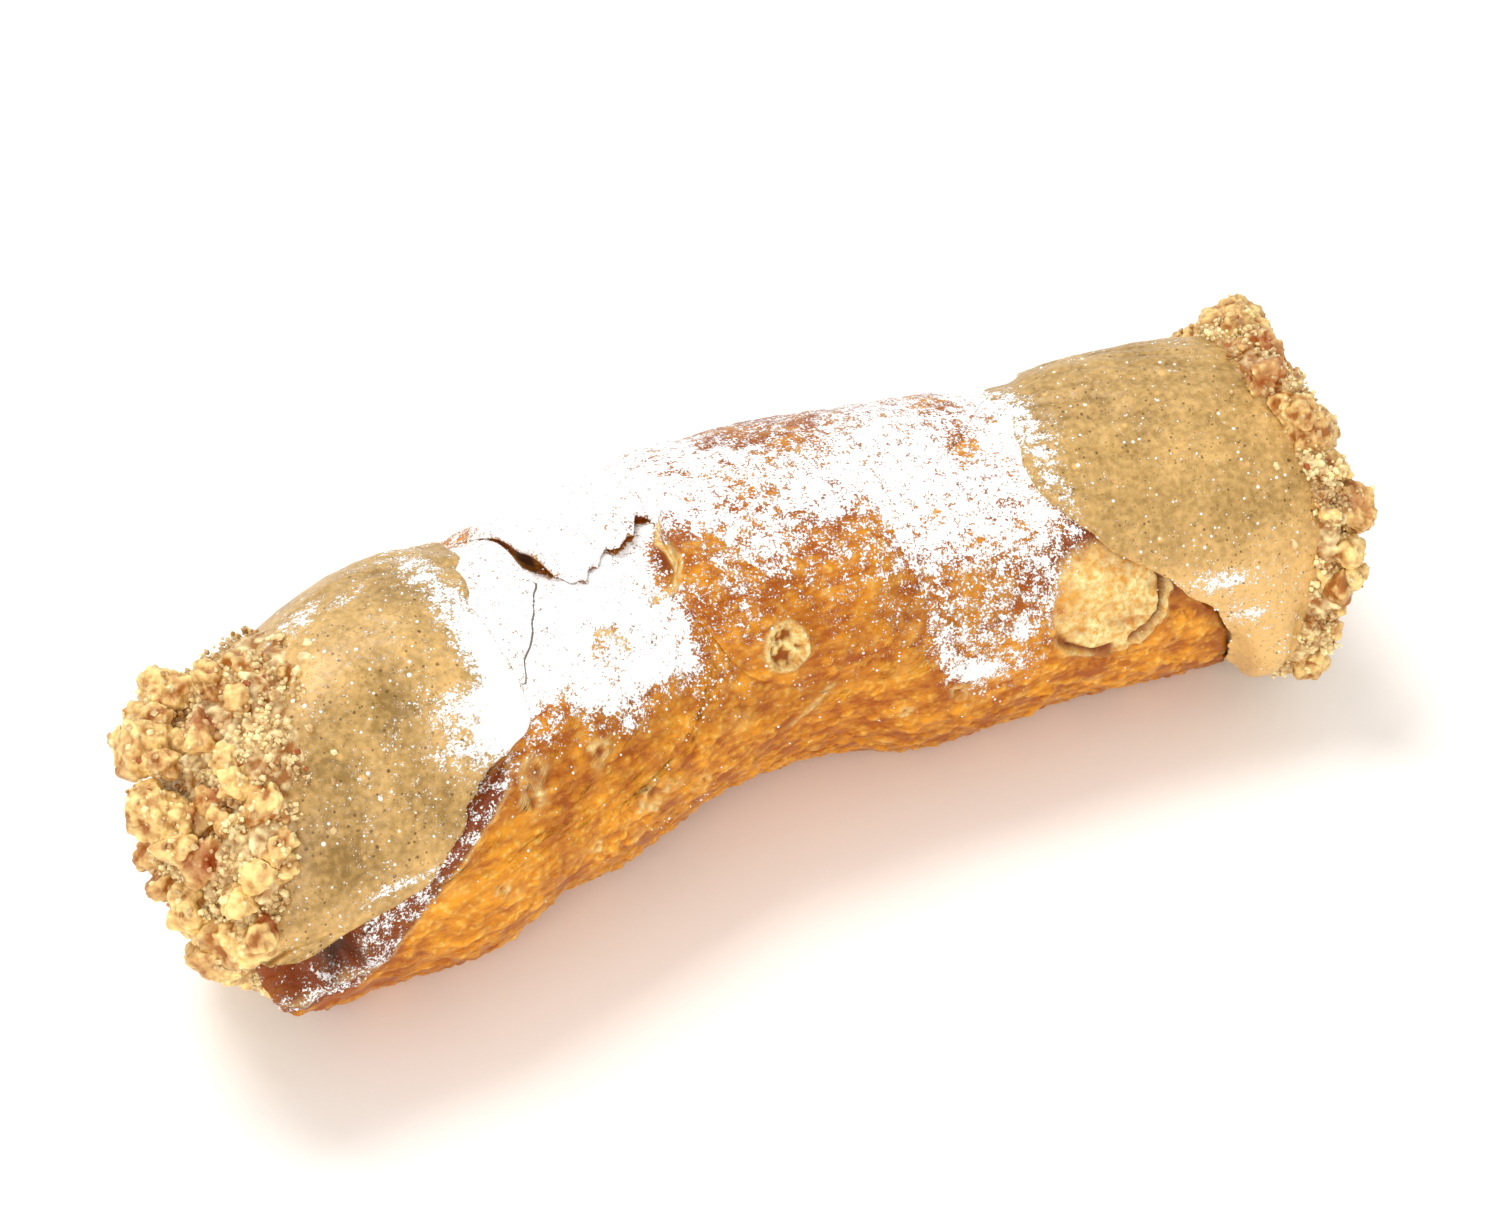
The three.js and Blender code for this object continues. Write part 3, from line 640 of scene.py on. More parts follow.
def pastryRelief(along, around, points, onTop):
    # height in mm over the plain wall, how browned, pale and crusty it is there, and how little sugar stays;
    # the browned value also carries painted shade in the notch's hollow and in the burst blister's gap
    bubbly = mix(0.3, 1, ease(42, 80, np.abs(turned(around + 6))))
    small = domes(points, 1.3, 11, 0.7, 0.85)
    middling = domes(points, 2.7, 12, 0.4, 1.5)
    large = domes(points, 6.5, 17, 0.35, 2.8)
    fibre = noise(points * shell["drawn"], 1.1, 7)
    height = noises(points, (0.26, 8, 1), (0.14, 3.4, 2))
    height = height + bubbly * (0.30 * small + 0.26 * middling + 0.28 * large + 0.12 * fibre)
    height = height - 0.12 * bubbly * np.abs(noise(points * shell["drawn"], 2.2, 8))
    crust = 0.30 + bubbly * (0.38 * small + 0.26 * middling) + 0.2 * fibre + 0.2 * noise(points, 4, 9)
    crust = crust + raised(shell["crusts"], along, around)
    brownedAndShaded = 0.04 + noises(points, (0.16, 6, 5), (0.10, 2.0, 6)) + raised(shell["shades"], along, around)
    paled = 0.12 * bubbly * middling * (noise(points, 2.7, 13) > 0)
    notch = fromLine(along + 0.15 * noise(points, 0.8, 19), around, shell["notch"])
    toNotch = np.abs(notch) - 0.1
    paled = paled + 0.8 * bell(toNotch, 0.15)  # its torn edge is golden
    # painted shade in the notch's hollow, on the hollow side of its torn edge
    brownedAndShaded = brownedAndShaded + raised(shell["notchShade"], along, around) * (notch < 0)

    height, brownedAndShaded, paled = burstBlister(along, around, points, height, brownedAndShaded, paled)
    height, brownedAndShaded, paled, reach = ringBlister(along, around, points, height, brownedAndShaded, paled)
    swept = 0.6 * bell(toNotch, 0.25) + bell(reach - 0.6, 0.4)
    for s, a, radius, depth in blisters["pits"]:
        far = np.hypot(along - s, (around - a) * perDegree * 0.8)
        far = far * (1 + 0.5 * noise(points, 0.8, 28)) / radius
        broken = limited(0.75 + 0.9 * noise(points, 0.9, 34))
        height = height - 0.7 * depth * fade(0.2, 0.75, far) + 0.25 * broken * bell(far - 1.0, 0.2)
        brownedAndShaded = brownedAndShaded + 0.55 * fade(0.15, 0.6, far)
        paled = paled + 0.7 * broken * bell(far - 0.9, 0.25)
        swept = swept + min(1, 1.6 * depth) * bell(far - 0.8, 0.3)

    scar = np.abs(fromLine(along, around, blisters["scar"])) * (1 + 0.4 * noise(points, 1.1, 35))
    height = height + 0.3 * bell(scar, 0.22)
    paled = paled + 0.6 * bell(scar, 0.2)
    return height * onTop, *(limited(v) for v in (brownedAndShaded, paled, crust, swept))


sugarFall = {
    # how far down the front the sugar lies densely: along, around
    "foot": [
        (-62, 10), (-45, 20), (-38, 48), (-34, 54), (-30, 50), (-25, 54), (-20, 54), (-16, 55), (-10, 68),
        (-4, 76), (3, 76), (8, 73), (12, 80), (16, 92), (20, 90), (24, 84), (27, 58), (31, 44), (36, 30),
        (50, 0),
    ],
    "soft": (-9, 8),
    "back": (-84, -50),
    "under": (112, 125),
    # along, density on top
    "most": [(-40, 0.82), (-20, 0.82), (-7, 0.7), (4, 0.66), (11, 0.71), (32, 0.73)],
    "dust": (0.42, 16),  # how dense, and over how many degrees it fades below the foot
    # the flap's tongue is nearly bare: its outline, and what is left there
    "tongue": [
        (-14, 6), (-11, 9), (-8, 18), (-4, 29), (-0.5, 28), (3.5, 24), (8.2, 22), (11, 26), (11.6, 45),
        (9.5, 60),
    ],
    "left": 0.4,
    "patches": [
        (7, -42, 5, 17, -0.6), (5, -16, 4.5, 10, -0.2), (-30, -44, 3, 12, -0.5), (24, -26, 2, 12, -0.4),
        (24, 4, 1.2, 6, -0.3), (18, 59, 5.0, 11, -0.42), (29, 36, 4, 9, -0.12), (-26, 40, 5, 3, -0.1),
        (-28, 60, 5, 5, 0.16), (-13.1, 19, 0.7, 4.5, -1.2), (-11.6, 19, 2.0, 6, -0.4),
        (18.5, 74, 5, 9, -0.42), (8.6, 56, 1.2, 8, 0.3), (12.4, 72, 1.9, 7, 0.42), (16.6, 85, 2.2, 3.0, 0.5),
        (21.8, 75, 1.3, 4, 0.5), (24, 84, 3, 4, -0.4), (-11, 36, 2, 12, -0.15), (-31, 52, 1.5, 4, -0.35),
        (-28, 55, 2, 4, -0.3), (-36, 60, 2, 4, 0.2), (26, 52, 3.5, 6, -0.1), (-3, 12, 4, 8, -0.12),
        (-18, 60, 6, 6, 0.1),
    ],
}


def sugarOnPastry(along, around, points, under):
    foot = curveThrough(sugarFall["foot"], along)
    low, high = sugarFall["soft"]
    ragged = noises(points, (5, 4, 40), (3, 1.6, 44))
    density = curveThrough(sugarFall["most"], along) * fade(foot + low, foot + high, around + ragged)
    outline = np.array(sugarFall["tongue"])
    top, first, last = curveThrough(outline, along), outline[0, 0], outline[-1, 0]
    bare = ease(first - 0.5, first + 2, along) * fade(last, last + 5, along)
    bare = bare * ease(top - 7, top + 9, around + 1.3 * ragged)
    density = mix(density, density * sugarFall["left"] * mix(1.5, 0.5, ease(30, 66, around)), bare)
    density = density + raised(sugarFall["patches"], along, around) * mix(1, 0.45, bare)
    most, run = sugarFall["dust"]
    dust = most * fade(foot - 4, foot + run, around) * mix(1, 0.4, bare)
    density = np.maximum(density, dust) + noises(points, (0.07, 3, 41), (0.06, 1.3, 45))
    density = density * ease(*sugarFall["back"], around) * fade(*sugarFall["under"], around)
    return limited(density * (1 - under))


def columnAngles():  # degrees behind the flap's rim, closer together where they show
    first, last = shell["hidden"]
    step = shell["step"]
    parts = [(step, first, step), (first, last, shell["hiddenStep"]), (last, 357.6, step)]
    return np.concatenate([np.arange(*part) for part in parts])


def shellShares():
    shares = np.linspace(0, 1, shell["stations"])
    for start, end, count in shell["closeUps"]:
        shares = np.concatenate([shares[(shares < start) | (shares > end)], np.linspace(start, end, count)])
    return np.sort(shares)


# the pocket's columns, from the lower layer in front of the rim, in under the flap and out to the top of its
# rim: degrees behind the rim, part of the pocket's depth, of the gap's height, of the rim's thickness, how
# far out of the sugar's fall it lies, which also sets how much painted shade it gets, and how much of the
# relief it keeps
pocket = np.array([
    (-1.5, 0, 0, 0, 0, 1), (-0.4, 0, 0, 0, 0.1, 0.8), (0.8, 0, 0, 0, 0.5, 0.5), (0, 0.6, 0, 0, 1, 0),
    (0, 1, 0.05, 0, 1, 0), (0, 1.08, 0.5, 0, 1, 0), (0, 1, 0.95, 0, 1, 0), (0, 0.6, 1, 0, 1, 0),
    (0.9, 0, 1, 0, 1, 0.3), (0.15, 0, 1, 0.12, 0.6, 0.5), (-0.3, 0, 1, 0.5, 0.25, 0.8),
    (0.05, 0, 1, 0.9, 0, 1),
]).T


def foldedColumns(share):
    # columns right round the tube from the flap's rim, then those of the pocket under it: their angle, how
    # high they stand over the wall, how sheltered they lie, which also gives the painted brown shade under
    # the rim, how dark their deep gaps are painted as shade, and how much relief they keep
    behind, inward, ofGap, ofRim, sheltered, keeps = pocket
    back = columnAngles()[None, :]
    edge = flapAround(share)
    follow = fade(0, 180, np.minimum(back, 360 - back))
    around = tube["seamAround"] - back + follow * (edge - tube["seamAround"])
    top = flapTop(share, edge - around)
    rim = curveThrough(shell["rim"], share)
    gap = 0.02 + humps(shell["lifts"], share)
    depth = shell["pocket"] + humps(shell["pockets"], share)
    around = np.concatenate([around, edge - (behind + inward * depth) - 360], axis=1)
    rise = np.concatenate([top, ofGap * gap + ofRim * rim], axis=1)
    first, full, last, gone = shell["rimShadeLine"]
    rimShows = ease(first, full, share) * fade(last, gone, share)
    # painted shade under the rim: it grows with the gap's height, and is set along the rim's edge where that
    # shows
    under = sheltered * np.maximum(limited(gap / 0.5), 0.8 * rimShows)
    under = np.concatenate([0 * top, under], axis=1)
    onTop = np.concatenate([np.ones_like(top), 0 * sheltered * share + keeps], axis=1)
    return around, rise, under, under * ease(*shell["deepGap"], gap), onTop


def shellSkin():
    # A ring of columns, each a closed loop: out along the outer face, round the right lip, back along the
    # inner face and round the left lip. Under the flap's rim the columns fold into a pocket.
    lip, lipSteps = shell["lip"], shell["lipSteps"]
    share = shellShares()[:, None]
    around, rise, under, hollowShade, onTop = foldedColumns(share)
    shown = turned(around)
    left, right = leftEdge(shown), rightEdge(shown)
    along = mix(left + lip, right - lip, share)
    s, spreadAlong, shift, start, end = shell["overhang"]
    along = along + shift * bell(along - s, spreadAlong) * ease(*start, shown) * fade(*end, shown)
    plain = swollen(along, shown)
    body = place(along, shown, plain)
    height, brownedAndShaded, paled, crust, swept = pastryRelief(along, shown, body, onTop)
    sugar = sugarOnPastry(along, shown, body, under) * (1 - 0.7 * swept)
    crack = fromLine(along + 0.25 * noise(body, 0.9, 43), shown, shell["crack"])

    # the left mouth's lower edge is rolled in: a dark rounded band along the cream, a fine line at its foot
    fromLeft = (along - left) / slant(leftEdge, shown)
    toRight = (right - along) / slant(rightEdge, shown)
    toFold = fromLine(along, shown, shell["fold"]) + 0.25 * noise(body, 2.5, 53)
    rolled = ease(42, 54, shown) * fade(107, 112, shown) * fade(-34, -31, along)
    band = rolled * ease(-0.1, 0.35, toFold)
    roll = 0.3 * bell(fromLeft - 1.6, 0.8) - 1.0 * fade(0, 1.5, fromLeft) + 0.2 * bell(toFold, 0.22)
    height = height + rolled * roll + raised(shell["knob"], along, shown)
    spoon = spoonDepth(along, shown)
    inSpoon = ease(0.1, 0.8, spoon)
    rimAt, rimWidth = shell["spoon"]["rim"]
    rimLine = bell(shown - rimAt - 1.2 * noise(body, 3, 57), rimWidth) * fade(-53, -50, along)
    lump = raised(shell["lump"], along, shown)
    height = height + 1.1 * lump * (1 + noise(body, 0.7, 59))
    brownedAndShaded = limited(brownedAndShaded + 0.9 * band)
    # the spoon is painted dark brown: its own browning, and painted shade in its hollow under the cream
    brownedAndShaded = limited(mix(brownedAndShaded, 0.92 + 0.15 * noise(body, 1.5, 58), inSpoon))
    brownedAndShaded = limited(brownedAndShaded + 0.5 * bell(toRight - 0.6, 0.9) * ease(20, 45, shown))
    # painted shade: the sheltered columns under the flap are painted brown, those in deep gaps dark
    brownedAndShaded = np.maximum(brownedAndShaded, 0.8 * (under - hollowShade))
    paled = limited(paled * (1 - inSpoon) + 0.35 * rimLine + 0.3 * rolled * bell(toFold, 0.16))
    sugar = mix(sugar, 0.37 + 0.14 * noise(body, 1.7, 54) + 0.06 * ease(-44, -52, along), band)
    sugar = mix(sugar, 0.16 + 0.36 * lump + raised(shell["spoonSugar"], along, shown), inSpoon)
    cake = 0.16 * ease(0.5, 0.95, sugar) * (1 + noise(body, 1.0, 42))
    radius = plain + rise + height + cake - 0.2 * bell(crack, 0.3) - spoon

    # inner face and lips, on the same columns
    count = around.shape[1]
    angles = columnAngles()
    angles = np.concatenate([angles, np.linspace(358, 359.8, count - len(angles))])
    innerAround = turned(tube["seamAround"] - angles)[None, :]
    innerShare = np.linspace(1, 0, shell["innerStations"])[:, None]
    innerAlong = mix(leftEdge(innerAround) + lip, rightEdge(innerAround) - lip, innerShare)
    innerRadius = swollen(innerAlong, innerAround) - tube["wall"] - spoonDepth(innerAlong, innerAround)
    innerRadius = innerRadius + 0.25 * noise(place(innerAlong, innerAround, innerRadius), 2.5, 55)
    turns = np.linspace(0, np.pi, lipSteps + 2)[1:-1, None]

    def lipRings(outerRow, innerRow, way):
        # half an ellipse from the outer face to the inner one, bulging by the lip's radius
        blend = 0.5 - 0.5 * np.cos(turns)
        s = mix(along[outerRow], innerAlong[innerRow], blend) + way * lip * np.sin(turns)
        a = shown[outerRow] + turned(innerAround[0] - shown[outerRow]) * blend
        r = mix(radius[outerRow], innerRadius[innerRow], blend)
        uneven = noises(place(s, a, r), (0.18, 1.3, 51), (0.08, 0.6, 52))
        return s + way * uneven, a, r + uneven

    rightLip, leftLip = lipRings(-1, 0, 1), [v[::-1] for v in lipRings(0, -1, -1)]
    inner = (innerAlong, np.broadcast_to(innerAround, innerAlong.shape), innerRadius)
    rings = [np.concatenate(part) for part in zip((along, shown, radius), rightLip, inner, leftLip)]
    climb = np.linspace(0, tube["floorWall"], lipSteps)
    lowest = [np.zeros(len(along)), climb, np.full(len(innerAlong), tube["floorWall"]), climb[::-1]]
    points = place(*rings, np.concatenate(lowest)[:, None])

    def onward(values, inside, lipValue, keep):  # carries a value on over the lips and the inner face
        ends = [lipValue + keep * np.repeat(values[row][None], lipSteps, 0) for row in (-1, 0)]
        return limited(np.concatenate([values, ends[0], np.full(innerAlong.shape, inside), ends[1]]))

    # painted shade in the hollow where the roll ends under the cream
    hollowShade = np.maximum(hollowShade, raised(shell["mouthShadow"], along, shown) * rolled)
    values = {
        "sugar": onward(sugar, 0.0, 0.0, 0.8),
        "brownedAndShaded": onward(brownedAndShaded, 0.75, 0.3, 0.5),
        "paled": onward(paled, 0.0, 0.0, 0.3),
        "crust": onward(crust, 0.3, 0.2, 0.5),
        "hollowShade": onward(hollowShade, 0.0, 0.0, 0.0),
        "crack": np.concatenate([crack, np.full((len(points) - len(crack), count), 3.0)]),
    }
    return points, values


shellPoints, shellValues = shellSkin()
makePiece(
    "fried_shell", shellPoints, gridFaces(*shellPoints.shape[:2], closeRows=True), finishes["pastry"],
    ["pastry_shell"], shellValues,
)


# the cream
cream = {
    "clear": 0.3,  # gap to the inside of the wall
    "bareHeight": 0.6,  # over the pastry's outer face
    "run": 2.8,  # mm past the edge to reach it
    "columnStep": 1.4,
    "rows": {"left": 30, "right": 50},
    "profileRows": 52,
    "body": 6,
    "dome": 16,
    "comesOut": (0.5, 3.5),  # mm of bare cream past the edge for it to stand at its full height
    # how far the cream laps back over the pastry's edge in mm; below 0 it stands back from it
    "laps": {
        "left": [
            (-180, 0), (-90, 0.8), (-45, 1.6), (0, 1.3), (30, 0.9), (44, 0.5), (56, 0.1), (68, 0.6),
            (76, 1.1), (81, 1.2), (85, 0.9), (91, -0.8), (130, -0.6),
        ],
        "right": [
            (-180, 0.2), (-60, 1.6), (-25, 3.4), (0, 2.6), (16, 1.8), (28, 1.2), (50, 1.2), (66, 0.9),
            (86, 0.3), (105, 0.3), (130, 0.3),
        ],
    },
    "lumps": [
        (-41, -35, 6, 28, 0.5), (-50, 0, 3, 40, -0.8), (46, -30, 9, 45, 1.3), (45, 62, 5, 16, 0.7),
        (48, 25, 5, 25, 0.3), (49.2, 109, 1.5, 15, 2.5), (51.9, 109, 1.4, 15, 2.5), (-59, 103, 7, 9, -6.0),
        (-63, 91, 2.5, 7, -4.0), (-38, 40, 3.2, 8, 0.5),
    ],
    "turns": {  # where the sides turn into the end faces: around, along
        "left": [
            (-180, -49), (-90, -40), (-45, -37), (10, -44.5), (45, -51), (70, -57.5), (80, -62),
            (85, -64.2), (92, -58), (120, -53),
        ],
        "right": [(-180, 52), (-90, 54.5), (0, 55.5), (60, 55.5), (100, 53.6), (140, 52)],
    },
    "faces": {"left": (-65, 0.95, -1, 0.14), "right": (59.5, 0.45, 1, 0.08)},  # apex, power, way, lean
    "folds": [  # soft ridges and valleys at the left
        (-44.5, 30, 2.2, 20, -0.75), (-41.5, 14, 2.5, 9, 0.45), (-48, 55, 3, 12, 0.4),
        (-47, 10, 2.2, 10, 0.5), (-52, 55, 2, 20, -0.35), (-34.8, 31, 0.8, 2.5, -0.9),
        (-52.5, -2, 2.5, 10, 0.9), (-40, -12, 2, 6, -0.5),
    ],
    "grooves": {"apart": 2.7, "phase": 1.3, "slope": 0.42, "depth": 0.36, "width": 0.3, "around": (-8, 28)},
    "curl": (-37.8, 40, 1.5),  # along, around, mm between its ridges
    "sugar": [
        (-38.5, 36, 2.4, 4, 0.45), (-36, 46, 2.2, 6, 0.6), (-40.5, 47, 2.2, 3, 0.3), (-36, -14, 1.6, 14, 0.3),
        (-35.5, 12, 1.2, 16, 0.35), (-48.5, 75.5, 3.0, 1.2, 0.6), (-49.5, -14, 1.3, 4, 0.5),
        (-44.5, -11, 1.0, 3, 0.4), (31.5, -12, 1.8, 18, 0.5), (44.5, 73, 3, 3.4, 0.5),
        (47.5, 88, 1.5, 4, 0.4), (-34.0, 24, 0.9, 12, 0.55), (30.0, 20, 1.0, 16, 0.35),
        (-47, 48, 5, 14, 0.05), (-33.4, 42, 1.3, 16, 0.6),
    ],
    # painted light and shade: patches made lighter where light falls on the cream, and a few darker
    "lights": [
        (-47, 73, 9, 4, 0.2), (-38, 40, 4, 8, 0.25), (-57, 80, 5, 4, 0.25), (-45, 38, 4, 10, -0.06),
        (-55, 60, 6, 14, -0.14),
    ],
}


def creamBase(along, around):  # the bare cream's radius
    return swollen(along, around) + cream["bareHeight"] + raised(cream["lumps"], along, around)


def creamInside(along, around):  # its radius in the tube
    return swollen(along, around) - tube["wall"] - cream["clear"]


def turnOf(side, around):
    return curveThrough(cream["turns"][side], around, 360)


def edgeOf(side):
    return leftEdge if side == "left" else rightEdge


def comingOut(side, around):  # 0 where the end face lies in the tube, 1 where the cream stands out of it
    room = cream["faces"][side][2] * (turnOf(side, around) - edgeOf(side)(around))
    return ease(*cream["comesOut"], room)


def bareRadius(side, along, around):
    base = creamBase(along, around)
    return mix(np.minimum(creamInside(along, around), base), base, comingOut(side, around))


def overFace(side, around, b, height):
    # over an end face: along = turn + (apex - turn) sin b, radius = side radius * cos(b)^power
    apex, power, way, lean = cream["faces"][side]
    start = turnOf(side, around)
    out, level = np.sin(np.radians(b)), limited(np.cos(np.radians(b)))
    radius = bareRadius(side, start, around) * level**power + height * level
    along = mix(start, apex, out) + way * out * (height + lean * radius * np.cos(np.radians(around)))
    return along, around + 0 * radius, radius


def creamProfile(side, angles):
    # Cross-section carried round the mouth: up inside the tube, round the pastry's edge, back over it to the
    # tip of the lap, and out on top to the bare cream's height. Controls are mm past the edge, and height.
    way = cream["faces"][side][2]
    edge = edgeOf(side)(angles)
    ground = place(edge, angles, tube["radius"])
    lap = curveThrough(cream["laps"][side], angles, 360) + noises(ground, (0.3, 2.6, 66), (0.16, 0.9, 67))
    over = ease(-0.5, 0.5, lap)
    away = np.maximum(-lap, 0.15)
    inside = -(tube["wall"] + cream["clear"])
    bead = 0.55 + 0.12 * noise(ground, 3, 68)
    flat = 0 * angles
    past = np.stack([
        flat - 5, flat - 0.8, mix(away, 0.35, over), mix(away + 0.15, 0.3, over), mix(away + 0.4, -lap, over),
        mix(away + 0.8, -lap + 0.04, over), mix(away + 1.5, -lap + 0.6, over),
        np.maximum(cream["run"], 2.2 - lap),
    ])
    height = np.stack([
        flat + inside, flat + inside, mix(inside * 0.9, -1.2, over), mix(-1.2, -0.1, over),
        mix(-0.5, 0.05, over), mix(-0.05, 0.32, over), mix(0.32, bead, over), flat + cream["bareHeight"],
    ])
    outside = comingOut(side, angles)
    height = mix(np.minimum(height, inside), height, outside)
    steps = np.concatenate([np.linspace(0, 1, 5)[:-1], np.linspace(1, 7, cream["profileRows"] - 4)])
    past, height = through(past, steps), through(height, steps)
    along = edge + way * past * slant(edgeOf(side), angles)
    inner = turnOf(side, angles) - way * (0.6 + 0.12 * (7 - steps[:, None]))
    along = np.where(way * (along - inner) > 0, inner, along)
    lumpy = ease(2, 6, steps)[:, None] * outside
    lumps = lumpy * raised(cream["lumps"], along, angles) * ease(0, 1.5, way * (along - edge))
    return along, swollen(along, angles) + height + lumps


def creamRelief(along, around, points):
    # soft folds, slanted streaks and a curl at the left, grooves of the spreading knife at the right, and a
    # slightly grainy skin; a groove is bell(mod(wave, apart)), its waves sloping over the surface
    right = ease(20, 30, along)
    up = around * perDegree
    height = noises(points, (0.2, 7, 61), (0.12, 2.6, 62), (0.06, 1.1, 63))
    grooves = cream["grooves"]
    middle, spread = grooves["around"]
    wave = up - grooves["slope"] * (along - 30) + 0.9 * noise(points, 9, 64)
    groove = bell(np.mod(wave, grooves["apart"]) - grooves["phase"], grooves["width"])
    groove = groove * bell(turned(around - middle), spread)
    height = height - right * grooves["depth"] * groove * (0.6 + 0.6 * noise(points, 5, 65))
    smear = np.stack([0.3 * (along + 0.8 * up), up - 0.8 * along, 0 * along], -1)
    height = height + (1 - right) * noises(smear, (0.26, 1.9, 69), (0.12, 0.9, 70)) * bell(around, 50)
    s, a, apart = cream["curl"]
    x, y = along - s, (around - a) * perDegree
    far = np.hypot(x, y * 1.15)
    spiral = np.cos(2 * np.pi * far / apart + np.arctan2(y, x)) * bell(far, 2.6)
    return height + (1 - right) * (raised(cream["folds"], along, around) + 0.28 * spiral)


def creamSkin():
    # rings from the left face's middle to the right one's: face, side, lap, body in the tube, lap, side, face
    shown = turned(-np.arange(0, 360, cream["columnStep"]))
    b = np.concatenate([np.linspace(0, 90, cream["dome"] + 1)[1:-1], [89.2]])[:, None]
    ends = {}
    for side in ("left", "right"):
        lapAlong, lapRadius = creamProfile(side, shown)
        steps = np.linspace(0, 1, cream["rows"][side] + 1)[1:, None]
        along = mix(lapAlong[-1], turnOf(side, shown), steps)
        faceAlong, _, faceRadius = overFace(side, shown[None, :], b, 0.0)
        radius = bareRadius(side, along, shown)
        rows = ((lapAlong, along, faceAlong), (lapRadius, radius, faceRadius))
        ends[side] = [np.concatenate(row) for row in rows]
    left, right = [v[::-1] for v in ends["left"]], ends["right"]
    even = np.linspace(0, 1, cream["body"] + 2)[1:-1, None]
    bodyAlong = mix(left[0][-1], right[0][0], even)
    body = (bodyAlong, creamInside(bodyAlong, shown))
    along, radius = (np.concatenate(part) for part in zip(left, body, right))
    around = np.broadcast_to(shown, along.shape)
    lowest = tube["floorWall"] + 0.6
    plain = place(along, around, radius, lowest)
    height = creamRelief(along, around, plain)
    proud = ease(-0.2, 0.5, radius - swollen(along, around))
    points = place(along, around, radius + height * proud, lowest)
    # painted light and shade: lighter on raised relief and darker in its grooves, lighter on the lower front
    # at the right where the light falls, and in the listed patches
    light = 0.45 + 0.5 * height + 0.6 * ease(52, 78, around) * ease(30, 40, along)
    light = light + raised(cream["lights"], along, around)
    sugar = mix(0.15, 0.11, ease(20, 30, along)) + raised(cream["sugar"], along, around)
    sugar = np.clip(sugar + 0.08 * noise(plain, 2.2, 71), 0.0, 0.96)
    return points, {"sugar": sugar, "light": limited(light)}


creamPoints, creamValues = creamSkin()
makeCapped("hazelnut_cream", creamPoints, creamValues, finishes["cream"], ["cream_filling"])


# chopped nuts
heaps = {
    "left": {
        # around, part of the way from the face's middle to its turn
        "reach": [(-180, 0.6), (-90, 0.6), (-45, 0.64), (0, 0.8), (45, 0.8), (80, 0.7), (115, 0.6)],
        # along, around, radius, half size, graininess
        "big": [
            (-62.3, -32, 17.2, 2.8, 0.9), (-58.6, -8, 18.2, 2.6, 0.5), (-55.0, -6, 18.4, 2.6, 1.0),
            (-61.5, 3, 16.6, 2.9, 0.3), (-66.8, -9, 14.8, 3.1, 0.2), (-68.3, 4, 12.6, 2.7, 0.3),
            (-66.2, 22, 12.8, 2.3, 1.0), (-65, 42, 13.2, 2.5, 0.6), (-60.5, 26, 17.2, 2.0, 1.0),
            (-58.5, 38, 18.4, 1.9, 1.0), (-59, 49, 18.8, 1.7, 1.0), (-63.6, 58, 16.2, 2.2, 1.0),
            (-63.8, 76, 15.6, 2.0, 1.0), (-65.2, 92, 13.0, 1.5, 1.0), (-67.4, 60, 9.5, 2.2, 0.8),
            (-66, -45, 13, 2.6, 0.6), (-60, -70, 17, 2.6, 0.8), (-66.2, -3, 15.2, 2.3, 0.9),
            (-67.6, 13, 13.2, 2.4, 0.7), (-67.2, 31, 12.8, 2.3, 0.9), (-64.6, -22, 16, 2.4, 0.8),
        ],
        "stains": [(-61.0, 2, 17.8, 1.5), (-64.8, 43, 14.5, 1.3), (-62.5, 24, 16.5, 0.8)],
        "loose": [
            (-54.3, 10, 0.9), (-50.6, 17, 0.6), (-51.4, 33, 0.5), (-50.2, 2, 1.2), (-49.3, -2, 0.9),
            (-51.6, 6, 0.9), (-52.5, 40, 0.4), (-48.5, 22, 0.35), (-54.0, 52, 0.4), (-52.6, 24, 0.5),
            (-58.5, 84, 0.45),
        ],
        "thickness": 2.6, "chunks": 64, "clumps": 330, "seed": 11,
    },
    "right": {
        "reach": [(-180, 0.84), (-60, 0.80), (-42, 0.76), (-20, 0.86), (0, 0.95), (110, 0.93)],
        "big": [
            (62.0, -33, 19.3, 4.4, 1.0), (56.8, 11, 19.6, 2.8, 1.0), (57.5, 31, 18.8, 2.9, 0.6),
            (60.8, 60, 17.2, 3.0, 0.9), (58, 82, 18.2, 3.0, 0.9), (56.6, 103, 18.4, 2.6, 1.0),
            (60.2, -6, 18.2, 2.7, 0.9), (62, 22, 14, 3.0, 0.7), (60, 44, 17.4, 2.3, 1.0),
            (55.6, 117, 18.8, 2.3, 1.0), (63, -5, 13, 3.0, 0.6), (60, -70, 17, 3.0, 0.8),
            (61, 100, 13, 2.6, 0.8),
        ],
        "stains": [(57.0, 9, 20.5, 1.7), (61, 58, 18, 1.0), (60, -5, 19, 1.2)],
        "loose": [(53.2, 40, 0.5), (52.5, 12, 0.4), (53, 66, 0.5)],
        "thickness": 2.6, "chunks": 58, "clumps": 300, "seed": 29,
    },
    "rim": 0.08,  # how uneven the heaps' rims are
    "floor": 0.9,
    "bedRings": 118,
    "bedStep": 0.95,
    "ringPower": 0.95,  # the power of a face on which evenly spaced rings need no correction
    "pieceSizes": (2.0, 5.0),  # mm across
    "grains": 17,  # to a clump
    "grain": (0.2, 0.5),  # radius
    "stuck": {"big": 40, "small": 10},  # grains on a chunk
    "goldenAngle": 137.5,
}


